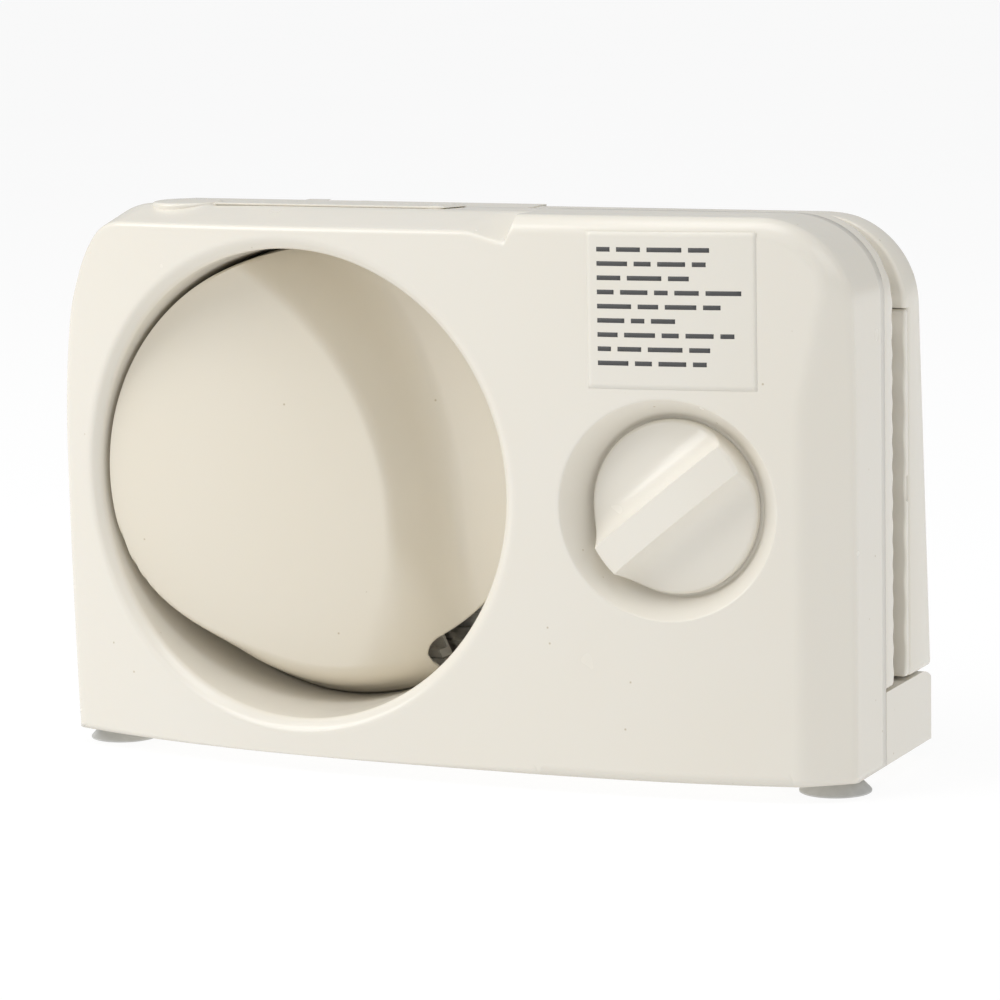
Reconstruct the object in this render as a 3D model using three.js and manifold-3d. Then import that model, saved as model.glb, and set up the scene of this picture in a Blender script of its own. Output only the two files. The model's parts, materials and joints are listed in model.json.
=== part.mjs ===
// Electric fold-up food slicer, millimetres, +Z up.
// Origin: on the table, under the middle of the slicer's box.
// -Y is the front with the slice bowl and the thickness knob, +X is the knob's side.

import * as THREE from 'three';
import { mergeVertices } from 'three/addons/utils/BufferGeometryUtils.js';
import Module from 'manifold-3d';

const wasm = await Module();
wasm.setup();

// ---------------------------------------------------------------- driving dimensions

const LENGTH = 291;             // along X, over the two ends of the housing
const HEIGHT = 191;             // table to the front edge of the knob block's top
const FOOT_HEIGHT = 6;
const WALL = 2.6;               // moulded shells
const GAP = 0.3;                // between pieces that touch
const SLIP = 0.4;               // between pieces that slide or turn

const HOUSING_DEPTH = 50.9;     // front shell, along Y
const GAUGE_DEPTH = 8.1;        // gauge plate
const STORE_GAP = 12.1;         // gauge plate to the folded tray
const TRAY_DEPTH = 26.9;        // folded tray at its foot
const TRAY_TOP_DEPTH = 13.5;    // folded tray at its top
const BASE_HEIGHT = 24.6;

const BOW_DROP = 12.5;          // how far the front bows back at its ends
const BOW_POWER = 2.7;
const BOW_SHIFT = 8;            // crown of the bow, from the middle
const CHAMFER_WIDTH = 15;       // upright chamfer on the knob side, along X
const CHAMFER_DEPTH = 11.3;     // and along Y
const LEFT_ROUND = 12;
const TOP_RIGHT_ROUND = 30;
const TOP_FALL = 2.3;           // the top slopes down to the back
const SCOOP_DEPTH = 5.8;        // slope along the front of the left block's top
const SCOOP_RUN = 24;
const SCOOP_END = 125;          // from the knob end, where the slope stops

const WELL_RADIUS = 79.8;       // slice bowl
const WELL_MARGIN = 16.1;       // bowl to the left end
const WELL_SILL = 11.9;         // bowl to the housing's lower edge
const WELL_FLOOR_DEPTH = 55;    // behind the housing's foremost point
const SKIN = 2.2;               // bowl and cover walls
const DOME_LEFT_DEPTH = 26;     // motor cover's face at its left, behind the foremost point
const DOME_RIGHT_DEPTH = 47;
const DOME_TOP_RADIUS = 60;
const DOME_FOOT_RADIUS = 76;
const DOME_LEAN = 14;           // cover's axis, left of the bowl's
const SLOT_INNER_RADIUS = 67;   // slice slot in the bowl's floor
const SLOT_HALF_ANGLE = 63.5;   // degrees

const BLADE_RADIUS = 82.5;
const BLADE_RISE = 8.3;         // blade axis above the bowl's axis
const BLADE_THICKNESS = 1.2;
const BLADE_FRONT = 68;         // behind the foremost point
const GUARD_CLEARANCE = 1.5;    // blade edge to its guard
const GUARD_WALL = 2;
const COVER_REACH = 69;         // blade-side cover, to the right of the bowl's axis
const COVER_DROP = 47;          // cover's cut-away corner, below the bowl's axis
const GEAR_BOX_RADIUS = 62;
const AXLE_RADIUS = 4;

const BLADE_TEETH = 48;
const JACK_PINION_TEETH = 10;
const SLOW_MODULE = 1.25;
const JACK_TEETH = 40;
const MOTOR_PINION_TEETH = 10;
const FAST_MODULE = 1;
const GEAR_WIDTH = 3;
const MESH_EASE = 0.15;         // added to each gear pair's centre distance

const MOTOR_RADIUS = 23;
const MOTOR_LENGTH = 16;
const MOTOR_OFFSET = 50;        // left of the blade axis
const MOTOR_DROP = 4;           // below the blade axis
const MOTOR_SHAFT_RADIUS = 1.5;

const KNOB_RADIUS = 28.8;
const KNOB_FROM_END = 58.6;
const KNOB_RISE = 89.6;         // above the housing's lower edge
const KNOB_BASE = 14.8;         // behind the foremost point
const KNOB_DOME = 8;
const GRIP_WIDTH = 9;
const GRIP_ANGLE = 45;          // degrees
const DISH_MARGIN = 7.5;        // dish rim outside the knob
const DISH_EASE = 0.9;          // dish floor outside the knob
const SHAFT_RADIUS = 4;
const KNOB_TURN = 300;          // degrees, thickest slice to none
const GAUGE_TRAVEL = 9.5;
const CAM_RADIUS = 16;
const CAM_TRACK = 6;            // width of the cam's ramp
const ROD_RADIUS = 3;
const ROD_SPREAD = 50;          // guide rods above and below the knob's axis

const BUTTON_RADIUS = 12.3;
const BUTTON_FROM_END = 42.5;
const BUTTON_PROUD = 1.2;

const HINGE_RADIUS = 2;
const HINGE_SPREAD = 111;       // each hinge's middle, from the slicer's middle
const EAR_WIDTH = 6;
const CARRIAGE_LENGTH = 150;
const CARRIAGE_THICKNESS = 3.6;
const CARRIAGE_TOP = 149.5;     // above the housing's lower edge
const TRAY_TOP = 180.5;
const RIB_PITCH = 16;
const RIB_DEPTH = 0.9;

const FOOT_RADIUS = 12;
const FOOT_INSET = 12.2;        // front foot axis from each end
const REAR_FOOT_INSET = 22;     // rear foot axis from each end
const FRONT_FOOT_SETBACK = 35;  // front foot axis behind the front
const REAR_FOOT_SETBACK = 24;   // rear foot axis ahead of the rear
const FOOT_NECK = 3;            // radius
const SCREW_RADIUS = 1.4;
const BOSS_RADIUS = 3.5;
const HEAD_RADIUS = 3;
const HEAD_HEIGHT = 1.2;

const ROUND = 40;               // sides of the large circles

// ---------------------------------------------------------------- derived places

const DEPTH = HOUSING_DEPTH + GAUGE_DEPTH + STORE_GAP + TRAY_DEPTH;
const LEFT = -LENGTH / 2;
const RIGHT = LENGTH / 2;
const FRONT = -DEPTH / 2;
const REAR = DEPTH / 2;
const PARTING = FRONT + HOUSING_DEPTH;
const GAUGE_REAR = PARTING + GAUGE_DEPTH;
const TRAY_FRONT = GAUGE_REAR + STORE_GAP;
const BOTTOM = FOOT_HEIGHT;
const BASE_TOP = BOTTOM + BASE_HEIGHT;

const WELL_X = LEFT + WELL_MARGIN + WELL_RADIUS;
const WELL_Z = BOTTOM + WELL_SILL + WELL_RADIUS;
const FLOOR = FRONT + WELL_FLOOR_DEPTH;
const WELL_END = FLOOR + SKIN + GAP;

const BLADE_Z = WELL_Z + BLADE_RISE;
const BLADE_Y = FRONT + BLADE_FRONT;
const COVER_REAR = BLADE_Y - 1.8;          // rear shell's outer face
const COVER_FRONT = COVER_REAR - 2;

const SLOW_GEAR_REAR = COVER_FRONT - SLIP;
const SLOW_GEAR_FRONT = SLOW_GEAR_REAR - GEAR_WIDTH * 1.4;
const FAST_GEAR_REAR = SLOW_GEAR_FRONT - SLIP;
const FAST_GEAR_FRONT = FAST_GEAR_REAR - GEAR_WIDTH;
const PLATE_REAR = FAST_GEAR_FRONT - SLIP;
const PLATE_FRONT = PLATE_REAR - 1.7;
const SLOW_CENTRES = SLOW_MODULE * (BLADE_TEETH + JACK_PINION_TEETH) / 2 + MESH_EASE;
const FAST_CENTRES = FAST_MODULE * (JACK_TEETH + MOTOR_PINION_TEETH) / 2 + MESH_EASE;

const MOTOR_X = WELL_X - MOTOR_OFFSET;
const MOTOR_Z = BLADE_Z - MOTOR_DROP;
const MOTOR_REAR = PLATE_FRONT - GAP;
const MOTOR_FRONT = MOTOR_REAR - MOTOR_LENGTH;

const KNOB_X = RIGHT - KNOB_FROM_END;
const KNOB_Z = BOTTOM + KNOB_RISE;
const DISH_FLOOR = FRONT + KNOB_BASE;
const DISH_RADIUS = KNOB_RADIUS + DISH_EASE;
const FRAME_REAR = PARTING - 8.4;
const FRAME_FRONT = FRAME_REAR - 2.5;
const CAM_FRONT = DISH_FLOOR + WALL + 1.6;
const CAM_BACK = CAM_FRONT + 3;
const CAM_MID = CAM_RADIUS - CAM_TRACK / 2;
const ROD_FRONT = FRAME_FRONT - GAUGE_TRAVEL - 5;

const BUTTON_X = LEFT + BUTTON_FROM_END;
const BUTTON_Y = PARTING - BUTTON_RADIUS - 1.6;
const TOP_SLOPE = TOP_FALL / HOUSING_DEPTH;
const topAt = (y) => HEIGHT - TOP_SLOPE * (y - FRONT);
const BUTTON_TOP = topAt(BUTTON_Y) + BUTTON_PROUD;
const SWITCH_TOP = BUTTON_TOP - 14.5;

const HINGE_Y = TRAY_FRONT + 16.9;
const HINGE_Z = BASE_TOP - (HINGE_Y - TRAY_FRONT);   // brings the open tray level with the base
const TRAY_BOTTOM = BASE_TOP + 0.8;
const CARRIAGE_REAR = TRAY_FRONT + CARRIAGE_THICKNESS;
const BASE_REAR = REAR - 0.5;

const LABEL_WIDTH = 56;
const LABEL_HEIGHT = 51;
const INLET_FLANGE = 1.5;
const INLET_RADIUS = 5;
const INLET_Y = REAR - 26;
const INLET_Z = BOTTOM + 13;
const RAIL_HALF = 4;            // half the height of the carriage's rail

// ---------------------------------------------------------------- solids

// A closed geometry as a solid: shared corners merged, slivers dropped, faces turned outwards.
function solid(geometry) {
  const bare = geometry.clone();
  bare.deleteAttribute('normal');
  bare.deleteAttribute('uv');
  const merged = mergeVertices(bare, 1e-4);
  const place = merged.attributes.position;
  const corner = [new THREE.Vector3(), new THREE.Vector3(), new THREE.Vector3()];
  const triangles = [];
  let volume = 0;
  for (let i = 0; i < merged.index.count; i += 3) {
    const [a, b, c] = [0, 1, 2].map((k) => merged.index.getX(i + k));
    if (a === b || b === c || c === a) continue;
    [a, b, c].forEach((v, k) => corner[k].fromBufferAttribute(place, v));
    volume += corner[0].dot(corner[1].clone().cross(corner[2]));
    triangles.push([a, b, c]);
  }
  const faces = volume < 0 ? triangles.map(([a, b, c]) => [a, c, b]) : triangles;
  return new wasm.Manifold(new wasm.Mesh({
    numProp: 3,
    vertProperties: new Float32Array(place.array),
    triVerts: new Uint32Array(faces.flat()),
  }));
}

function box(x0, x1, y0, y1, z0, z1) {
  const geometry = new THREE.BoxGeometry(x1 - x0, y1 - y0, z1 - z0);
  return solid(geometry.translate((x0 + x1) / 2, (y0 + y1) / 2, (z0 + z1) / 2));
}

// A round bar along Y.
function bar(radius, y0, y1, x = 0, z = 0, sides = 12) {
  const geometry = new THREE.CylinderGeometry(radius, radius, y1 - y0, sides);
  return solid(geometry.translate(x, (y0 + y1) / 2, z));
}

// A round bar along Z.
function upright(radius, z0, z1, x = 0, y = 0, sides = 12) {
  const geometry = new THREE.CylinderGeometry(radius, radius, z1 - z0, sides).rotateX(Math.PI / 2);
  return solid(geometry.translate(x, y, (z0 + z1) / 2));
}

// A round bar along X.
function rodAlongX(radius, x0, x1, y = 0, z = 0, sides = 12) {
  const geometry = new THREE.CylinderGeometry(radius, radius, x1 - x0, sides).rotateZ(Math.PI / 2);
  return solid(geometry.translate((x0 + x1) / 2, y, z));
}

// A profile of [radius, y] turned about the Y axis.
function turned(profile, x = 0, z = 0, sides = 20) {
  const points = profile.map(([r, y]) => new THREE.Vector2(r, y));
  return solid(new THREE.LatheGeometry(points, sides).translate(x, 0, z));
}

// A ring between two radii, turned about the Y axis.
function ring(inner, outer, y0, y1, x = 0, z = 0, sides = 20) {
  return turned([[inner, y0], [outer, y0], [outer, y1], [inner, y1], [inner, y0]], x, z, sides);
}

function outline(points) {
  return new THREE.Shape(points.map(([u, v]) => new THREE.Vector2(u, v)));
}

function extruded(shape, from, to, axes) {
  const geometry = new THREE.ExtrudeGeometry(shape, {
    depth: to - from, bevelEnabled: false, curveSegments: 8,
  });
  geometry.translate(0, 0, from);
  return solid(geometry.applyMatrix4(new THREE.Matrix4().makeBasis(...axes)));
}

const X = new THREE.Vector3(1, 0, 0);
const Y = new THREE.Vector3(0, 1, 0);
const Z = new THREE.Vector3(0, 0, 1);
const slabAlongZ = (shape, z0, z1) => extruded(shape, z0, z1, [X, Y, Z]);
const slabAlongX = (shape, x0, x1) => extruded(shape, x0, x1, [Y, Z, X]);
const slabAlongY = (shape, y0, y1) => extruded(shape, -y1, -y0, [X, Z, Y.clone().negate()]);

function joined(...solids) {
  return solids.reduce((sum, next) => sum.add(next));
}

// A sector of a ring in the XZ plane, from angle a0 to a1 in degrees.
function sectorShape(inner, outer, a0, a1) {
  const [from, to] = [a0, a1].map(THREE.MathUtils.degToRad);
  const shape = new THREE.Shape();
  shape.absarc(0, 0, outer, from, to, false);
  shape.absarc(0, 0, inner, to, from, true);
  shape.closePath();
  return shape;
}

// ---------------------------------------------------------------- scene graph

const group = new THREE.Group();
group.name = 'food_slicer';

const finish = (name, color, roughness, metalness = 0) => new THREE.MeshStandardMaterial({
  name, color, roughness, metalness,
});
const cream = finish('cream_plastic', 0xf0eadc, 0.25);
const bowlCream = finish('bowl_plastic', 0xe9e2d0, 0.3);
const greyRubber = finish('grey_rubber', 0xc9c8c4, 0.6);
const labelFilm = finish('label_film', 0xf3efe4, 0.35);
const steel = finish('blade_steel', 0xb9b9b6, 0.3, 1);
const plated = finish('plated_steel', 0xa9abad, 0.4, 1);
const acetal = finish('white_acetal', 0xe6e6e0, 0.45);
const nylon = finish('black_nylon', 0x2b2b2d, 0.55);
const copper = finish('copper', 0xb87745, 0.4, 1);
const bronze = finish('bronze', 0xa8824a, 0.45, 1);
const ferrite = finish('ferrite', 0x3b3b3e, 0.8);

function assembly(x = 0, y = 0, z = 0) {
  const sub = new THREE.Group();
  sub.position.set(x, y, z);
  group.add(sub);
  return sub;
}

function piece(parent, name, body, material) {
  const data = body.getMesh();
  const geometry = new THREE.BufferGeometry();
  geometry.setAttribute('position', new THREE.BufferAttribute(data.vertProperties, 3));
  geometry.setIndex(new THREE.BufferAttribute(data.triVerts, 1));
  geometry.computeVertexNormals();
  const mesh = new THREE.Mesh(geometry, material);
  mesh.name = name;
  parent.add(mesh);
  return mesh;
}

// ---------------------------------------------------------------- housing outlines

// Front surface in plan: flat in the middle, falling back faster towards the ends.
function bowAt(x) {
  const half = RIGHT - CHAMFER_WIDTH;
  return FRONT + BOW_DROP * (Math.abs(x - BOW_SHIFT) / half) ** BOW_POWER;
}

// Plan of the housing, in X and Y, drawn in by inset.
function planOutline(inset, rear) {
  const points = [];
  const leftEnd = LEFT + LEFT_ROUND;
  const rightEnd = RIGHT - CHAMFER_WIDTH - inset * 0.4;
  const round = LEFT_ROUND - inset;
  for (let i = 0; i <= 4; i += 1) {
    const turn = (i / 4) * Math.PI / 2;
    points.push([leftEnd - round * Math.cos(turn), bowAt(leftEnd) + LEFT_ROUND - round * Math.sin(turn)]);
  }
  const steps = 12;
  for (let i = 1; i <= steps; i += 1) {
    const x = leftEnd + (rightEnd - leftEnd) * (i / steps);
    points.push([x, bowAt(x) + inset]);
  }
  points.push([RIGHT - inset, bowAt(RIGHT - CHAMFER_WIDTH) + CHAMFER_DEPTH + inset * 0.6]);
  points.push([RIGHT - inset, rear], [LEFT + inset, rear]);
  return outline(points);
}

// The left end leans in above and below its fullest height.
function leftAt(z) {
  const above = z - (BOTTOM + 100);
  return LEFT + (above > 0 ? 0.0017 : 0.0002) * above * above;
}

// Front view of the housing, in X and Z, drawn in by inset, from height low.
function frontOutline(inset, low, top = HEIGHT) {
  const round = TOP_RIGHT_ROUND - inset;
  const shoulder = top - 25;
  const shape = new THREE.Shape();
  shape.moveTo(leftAt(BOTTOM) + inset, low);
  shape.lineTo(RIGHT - inset, low);
  shape.lineTo(RIGHT - inset, top - TOP_RIGHT_ROUND);
  shape.absarc(RIGHT - TOP_RIGHT_ROUND, top - TOP_RIGHT_ROUND, round, 0, Math.PI / 2, false);
  shape.lineTo(LEFT + 30, top - inset);
  shape.quadraticCurveTo(leftAt(shoulder) + 4 + inset, top - inset, leftAt(shoulder) + inset, shoulder);
  for (const z of [0.75, 0.5, 0.25].map((share) => BOTTOM + share * (shoulder - BOTTOM))) {
    shape.lineTo(leftAt(z) + inset, z);
  }
  shape.closePath();
  return shape;
}

// Side view of the housing, in Y and Z, with the sloping top.
function sideOutline(inset, low) {
  return outline([
    [FRONT - 10, low], [REAR, low],
    [REAR, topAt(REAR) - inset], [FRONT - 10, topAt(FRONT - 10) - inset],
  ]);
}

// What the slope along the left block's front edge takes off the top.
function scoop(inset) {
  const rear = FRONT + SCOOP_RUN;
  const rise = (SCOOP_DEPTH - TOP_SLOPE * SCOOP_RUN) / (SCOOP_RUN - 4);
  const front = FRONT - 10;
  return slabAlongX(outline([
    [front, HEIGHT - SCOOP_DEPTH - inset - rise * 14], [rear, topAt(rear) - inset],
    [rear, HEIGHT + 20], [front, HEIGHT + 20],
  ]), LEFT - 10, RIGHT - SCOOP_END + inset);
}

function housing(inset, rear, low) {
  return slabAlongZ(planOutline(inset, rear), low, HEIGHT + 1)
    .intersect(slabAlongY(frontOutline(inset, low), FRONT - 1, rear))
    .intersect(slabAlongX(sideOutline(inset, low), LEFT - 1, RIGHT + 1))
    .subtract(scoop(inset));
}

// ---------------------------------------------------------------- places shared by pieces

const SHELL_SCREWS = [
  [LEFT + 15, HEIGHT - 14], [LEFT + 12, BASE_TOP + 10],
  [WELL_X + 62, HEIGHT - 10],
];
const FRAME_SCREWS = [[KNOB_X - 17, KNOB_Z + 56], [KNOB_X + 17, KNOB_Z - 56]];
const BASE_SCREWS = [[LEFT + 46, REAR - 26], [RIGHT - 46, REAR - 26]];
const PLATE_SCREWS = [90, -30, 250].map((degrees) => {
  const turn = THREE.MathUtils.degToRad(degrees);
  const radius = GEAR_BOX_RADIUS - 10;
  return [WELL_X + radius * Math.cos(turn), WELL_Z + radius * Math.sin(turn)];
});
const FEET = [
  ['suction_foot_front_left', LEFT + FOOT_INSET, FRONT + FRONT_FOOT_SETBACK],
  ['suction_foot_front_right', RIGHT - FOOT_INSET, FRONT + FRONT_FOOT_SETBACK],
  ['suction_foot_rear_left', LEFT + REAR_FOOT_INSET, REAR - REAR_FOOT_SETBACK],
  ['suction_foot_rear_right', RIGHT - REAR_FOOT_INSET, REAR - REAR_FOOT_SETBACK],
];
const COVER_BOTTOM = BOTTOM + GAP;
const COVER_TOP = COVER_BOTTOM + 2.4;
const PIVOT_ROOT = COVER_TOP + 0.6;

// Where the second gear stands, from the two centre distances.
const jack = (() => {
  const reach = new THREE.Vector2(MOTOR_X - WELL_X, MOTOR_Z - BLADE_Z);
  const span = reach.length();
  const along = (SLOW_CENTRES ** 2 - FAST_CENTRES ** 2 + span ** 2) / (2 * span);
  const aside = Math.sqrt(SLOW_CENTRES ** 2 - along ** 2);
  const unit = reach.divideScalar(span);
  return {
    x: WELL_X + unit.x * along - unit.y * aside,
    z: BLADE_Z + unit.y * along + unit.x * aside,
  };
})();

// ---------------------------------------------------------------- housing pieces

function frontShell() {
  const outer = housing(0, PARTING, BOTTOM);
  const inner = housing(WALL, PARTING + 5, BOTTOM - 5);
  const dishFront = DISH_RADIUS + (DISH_MARGIN - DISH_EASE) * (KNOB_BASE + 2) / (KNOB_BASE - 3.2);
  const dish = (wall) => turned([
    [0, DISH_FLOOR + wall], [DISH_RADIUS + wall, DISH_FLOOR + wall],
    [dishFront + wall, FRONT - 2], [0, FRONT - 2],
  ], KNOB_X, KNOB_Z, 28);
  const postFrom = FRONT + 2;
  const posts = [
    ...SHELL_SCREWS.map(([x, z]) => bar(BOSS_RADIUS, postFrom, PARTING, x, z, 12)),
    ...FRAME_SCREWS.map(([x, z]) => bar(BOSS_RADIUS, postFrom, FRAME_FRONT - GAP, x, z, 12)),
    box(BUTTON_X - 10, BUTTON_X + 10, BUTTON_Y - 1, BUTTON_Y + 1, WELL_Z, SWITCH_TOP - 8 - GAP),
  ];
  const within = housing(WALL / 2, PARTING, BOTTOM + 1);
  const wellTube = bar(WELL_RADIUS + SKIN, FRONT - 2, PARTING, WELL_X, WELL_Z, ROUND).intersect(outer)
    .add(ring(WELL_RADIUS - 1, WELL_RADIUS + SKIN, PARTING - 1, WELL_END, WELL_X, WELL_Z, ROUND));
  const holes = [
    bar(WELL_RADIUS, FRONT - 2, WELL_END + 1, WELL_X, WELL_Z, ROUND),
    dish(0),
    bar(SHAFT_RADIUS + SLIP, FRONT, PARTING, KNOB_X, KNOB_Z),
    ...SHELL_SCREWS.map(([x, z]) => bar(SCREW_RADIUS + GAP, PARTING - 12, PARTING + 1, x, z, 8)),
    ...FRAME_SCREWS.map(([x, z]) => bar(SCREW_RADIUS + GAP, FRAME_FRONT - 10, FRAME_FRONT, x, z, 8)),
    upright(BUTTON_RADIUS + SLIP, HEIGHT - 12, HEIGHT + 5, BUTTON_X, BUTTON_Y, 24),
  ];
  let shell = outer.subtract(inner).add(wellTube).add(dish(WALL).intersect(outer));
  shell = shell.add(joined(...posts).intersect(within));
  return holes.reduce((left, hole) => left.subtract(hole), shell);
}

// Bowl floor and motor cover in one moulding: a broad cone cut off by a slanting face.
function sliceBowl() {
  const reach = WELL_RADIUS - GAP;
  const slant = (DOME_RIGHT_DEPTH - DOME_LEFT_DEPTH) / (2 * WELL_RADIUS);
  const dome = (wall) => {
    const faceAt = (x) => FRONT + DOME_LEFT_DEPTH + wall + slant * (x - WELL_X + WELL_RADIUS);
    const cone = turned([
      [0, FLOOR + SKIN], [DOME_FOOT_RADIUS - wall, FLOOR + SKIN], [DOME_FOOT_RADIUS - wall, FLOOR],
      [DOME_TOP_RADIUS - wall, FRONT + 8], [0, FRONT + 8],
    ], WELL_X, WELL_Z, ROUND);
    const behindFace = slabAlongZ(outline([
      [WELL_X - 100, faceAt(WELL_X - 100)], [WELL_X + 100, faceAt(WELL_X + 100)],
      [WELL_X + 100, FLOOR + 20], [WELL_X - 100, FLOOR + 20],
    ]), WELL_Z - 100, WELL_Z + 100);
    return cone.intersect(behindFace);
  };
  const floor = bar(reach, FLOOR, FLOOR + SKIN, WELL_X, WELL_Z, ROUND);
  const slot = slabAlongY(
    sectorShape(SLOT_INNER_RADIUS, WELL_RADIUS + 5, -SLOT_HALF_ANGLE, SLOT_HALF_ANGLE),
    FLOOR - 30, FLOOR + 10,
  ).translate(WELL_X, 0, WELL_Z);
  const wall = bar(reach, FRONT, FLOOR + SKIN, WELL_X, WELL_Z, ROUND);
  const inside = bar(reach - SKIN, FRONT, FLOOR + 10, WELL_X, WELL_Z, ROUND);
  // The cover leans to the left, where it meets the bowl's wall.
  return floor.add(dome(0).translate(-DOME_LEAN, 0, 0)).intersect(wall)
    .subtract(dome(SKIN).translate(-DOME_LEAN, 0, 0).intersect(inside))
    .subtract(slot);
}

// Blade-side cover: a shallow tray round the gear train, open where the slices pass.
function rearShell() {
  const low = BASE_TOP + SLIP;
  const span = slabAlongY(frontOutline(0, low, topAt(PARTING)), PARTING + GAP, COVER_REAR)
    .intersect(box(LEFT - 1, WELL_X + COVER_REACH, FRONT, REAR, low, HEIGHT));
  const hollow = slabAlongY(frontOutline(WALL, low + WALL, topAt(PARTING)), PARTING, COVER_FRONT)
    .intersect(box(LEFT - 1, WELL_X + COVER_REACH - WALL, FRONT, REAR, low, HEIGHT));
  const window = slabAlongY(
    sectorShape(GEAR_BOX_RADIUS, WELL_RADIUS + SKIN + 2, -SLOT_HALF_ANGLE - 2, SLOT_HALF_ANGLE + 2),
    PARTING - 1, COVER_REAR + 1,
  ).translate(WELL_X, 0, WELL_Z);
  const gearBox = ring(GEAR_BOX_RADIUS - 2.4, GEAR_BOX_RADIUS, WELL_END + GAP, COVER_FRONT + 1,
    WELL_X, WELL_Z, ROUND);
  const guard = ring(BLADE_RADIUS + GUARD_CLEARANCE, BLADE_RADIUS + GUARD_CLEARANCE + GUARD_WALL,
    COVER_REAR - 1, TRAY_FRONT - 1, WELL_X, BLADE_Z, ROUND)
    .intersect(slabAlongY(frontOutline(0, low, topAt(PARTING)), FRONT, REAR))
    .intersect(box(LEFT, WELL_X, FRONT, REAR, low, HEIGHT));
  const posts = [
    ...SHELL_SCREWS.map(([x, z]) => bar(BOSS_RADIUS, PARTING + GAP, COVER_FRONT + 1, x, z, 12)),
    ...PLATE_SCREWS.map(([x, z]) => bar(BOSS_RADIUS, PLATE_REAR + GAP, COVER_FRONT + 1, x, z, 12)),
  ];
  const holes = [
    bar(11, COVER_FRONT - 1, COVER_REAR + 1, WELL_X, BLADE_Z, 24),
    bar(WELL_RADIUS + SKIN + SLIP, FRONT, WELL_END + GAP, WELL_X, WELL_Z, ROUND),
    ...SHELL_SCREWS.map(([x, z]) => bar(SCREW_RADIUS + GAP, PARTING, COVER_REAR + 1, x, z, 8)),
    ...SHELL_SCREWS.map(([x, z]) => (
      bar(HEAD_RADIUS + GAP + 0.2, COVER_REAR - 1.6, COVER_REAR + 1, x, z, 12)
    )),
    ...PLATE_SCREWS.map(([x, z]) => bar(SCREW_RADIUS + GAP, PLATE_REAR, PLATE_REAR + 8, x, z, 8)),
  ];
  const corner = box(WELL_X + 40, RIGHT, FRONT, REAR, low - 1, WELL_Z - COVER_DROP);
  const shell = span.subtract(hollow).subtract(window).subtract(corner);
  const cover = joined(shell, gearBox, guard, ...posts);
  return holes.reduce((left, hole) => left.subtract(hole), cover);
}

function baseBlock() {
  const front = PARTING + GAP;
  const profile = (inset, low) => {
    const shape = new THREE.Shape();
    const radius = BASE_TOP - HINGE_Z - inset;
    const reach = BASE_REAR - inset - HINGE_Y;
    shape.moveTo(front + inset, low);
    shape.lineTo(BASE_REAR - inset, low);
    shape.lineTo(BASE_REAR - inset, HINGE_Z + Math.sqrt(radius ** 2 - reach ** 2));
    shape.absarc(HINGE_Y, HINGE_Z, radius, Math.acos(reach / radius), Math.PI / 2, false);
    shape.lineTo(front + inset, BASE_TOP - inset);
    shape.closePath();
    return shape;
  };
  const left = leftAt(BOTTOM);
  const outer = slabAlongX(profile(0, BOTTOM), left, RIGHT);
  const inner = slabAlongX(profile(WALL, BOTTOM - 5), left + WALL, RIGHT - WALL);
  const chord = Math.sqrt(BLADE_RADIUS ** 2 - (BLADE_Z - BASE_TOP) ** 2) + 1;
  const bladeSlot = box(WELL_X - chord, WELL_X + chord, BLADE_Y - 1, BLADE_Y + BLADE_THICKNESS + 1,
    BLADE_Z - BLADE_RADIUS - 1.5, BASE_TOP + 1);
  const hinges = [-HINGE_SPREAD, HINGE_SPREAD].map((x) => ({
    block: box(x - 11, x + 11, HINGE_Y - 9, BASE_REAR, PIVOT_ROOT, BASE_TOP),
    notch: box(x - EAR_WIDTH / 2 - SLIP, x + EAR_WIDTH / 2 + SLIP, HINGE_Y - 5.6, REAR + 1,
      PIVOT_ROOT - 5, BASE_TOP + 1),
    pinHole: rodAlongX(HINGE_RADIUS + GAP, x - 8.3, x + 8.3, HINGE_Y, HINGE_Z),
  }));
  const bosses = BASE_SCREWS.map(([x, y]) => upright(BOSS_RADIUS, PIVOT_ROOT, BASE_TOP - 1, x, y, 12));
  const block = outer.subtract(inner)
    .add(joined(...hinges.map((h) => h.block), ...bosses).intersect(outer));
  const cuts = [
    bladeSlot,
    box(left + WALL, RIGHT - WALL, PARTING - 1, front + WALL + 1, BOTTOM - 1, PIVOT_ROOT),
    ...hinges.flatMap((h) => [h.notch, h.pinHole]),
    ...BASE_SCREWS.map(([x, y]) => upright(SCREW_RADIUS + GAP, BOTTOM, BOTTOM + 12, x, y, 8)),
    rodAlongX(INLET_RADIUS + GAP, left - 1, left + WALL + 1, INLET_Y, INLET_Z),
    bar(WELL_RADIUS + SKIN + SLIP, FRONT, WELL_END + GAP, WELL_X, WELL_Z, ROUND),
  ];
  return cuts.reduce((rest, cut) => rest.subtract(cut), block);
}

function baseCover() {
  const plate = slabAlongZ(planOutline(WALL + GAP, BASE_REAR - WALL - GAP), COVER_BOTTOM, COVER_TOP)
    .intersect(box(leftAt(BOTTOM) + WALL + GAP, RIGHT, FRONT, REAR, BOTTOM, BASE_TOP));
  const holes = [
    ...FEET.map(([, x, y]) => upright(FOOT_NECK + GAP, BOTTOM, COVER_TOP + 1, x, y, 12)),
    ...BASE_SCREWS.map(([x, y]) => upright(SCREW_RADIUS + GAP, BOTTOM, COVER_TOP + 1, x, y, 8)),
    ...BASE_SCREWS.map(([x, y]) => upright(HEAD_RADIUS + GAP, BOTTOM, COVER_BOTTOM + 1.6, x, y, 12)),
  ];
  return holes.reduce((rest, hole) => rest.subtract(hole), plate);
}

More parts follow.
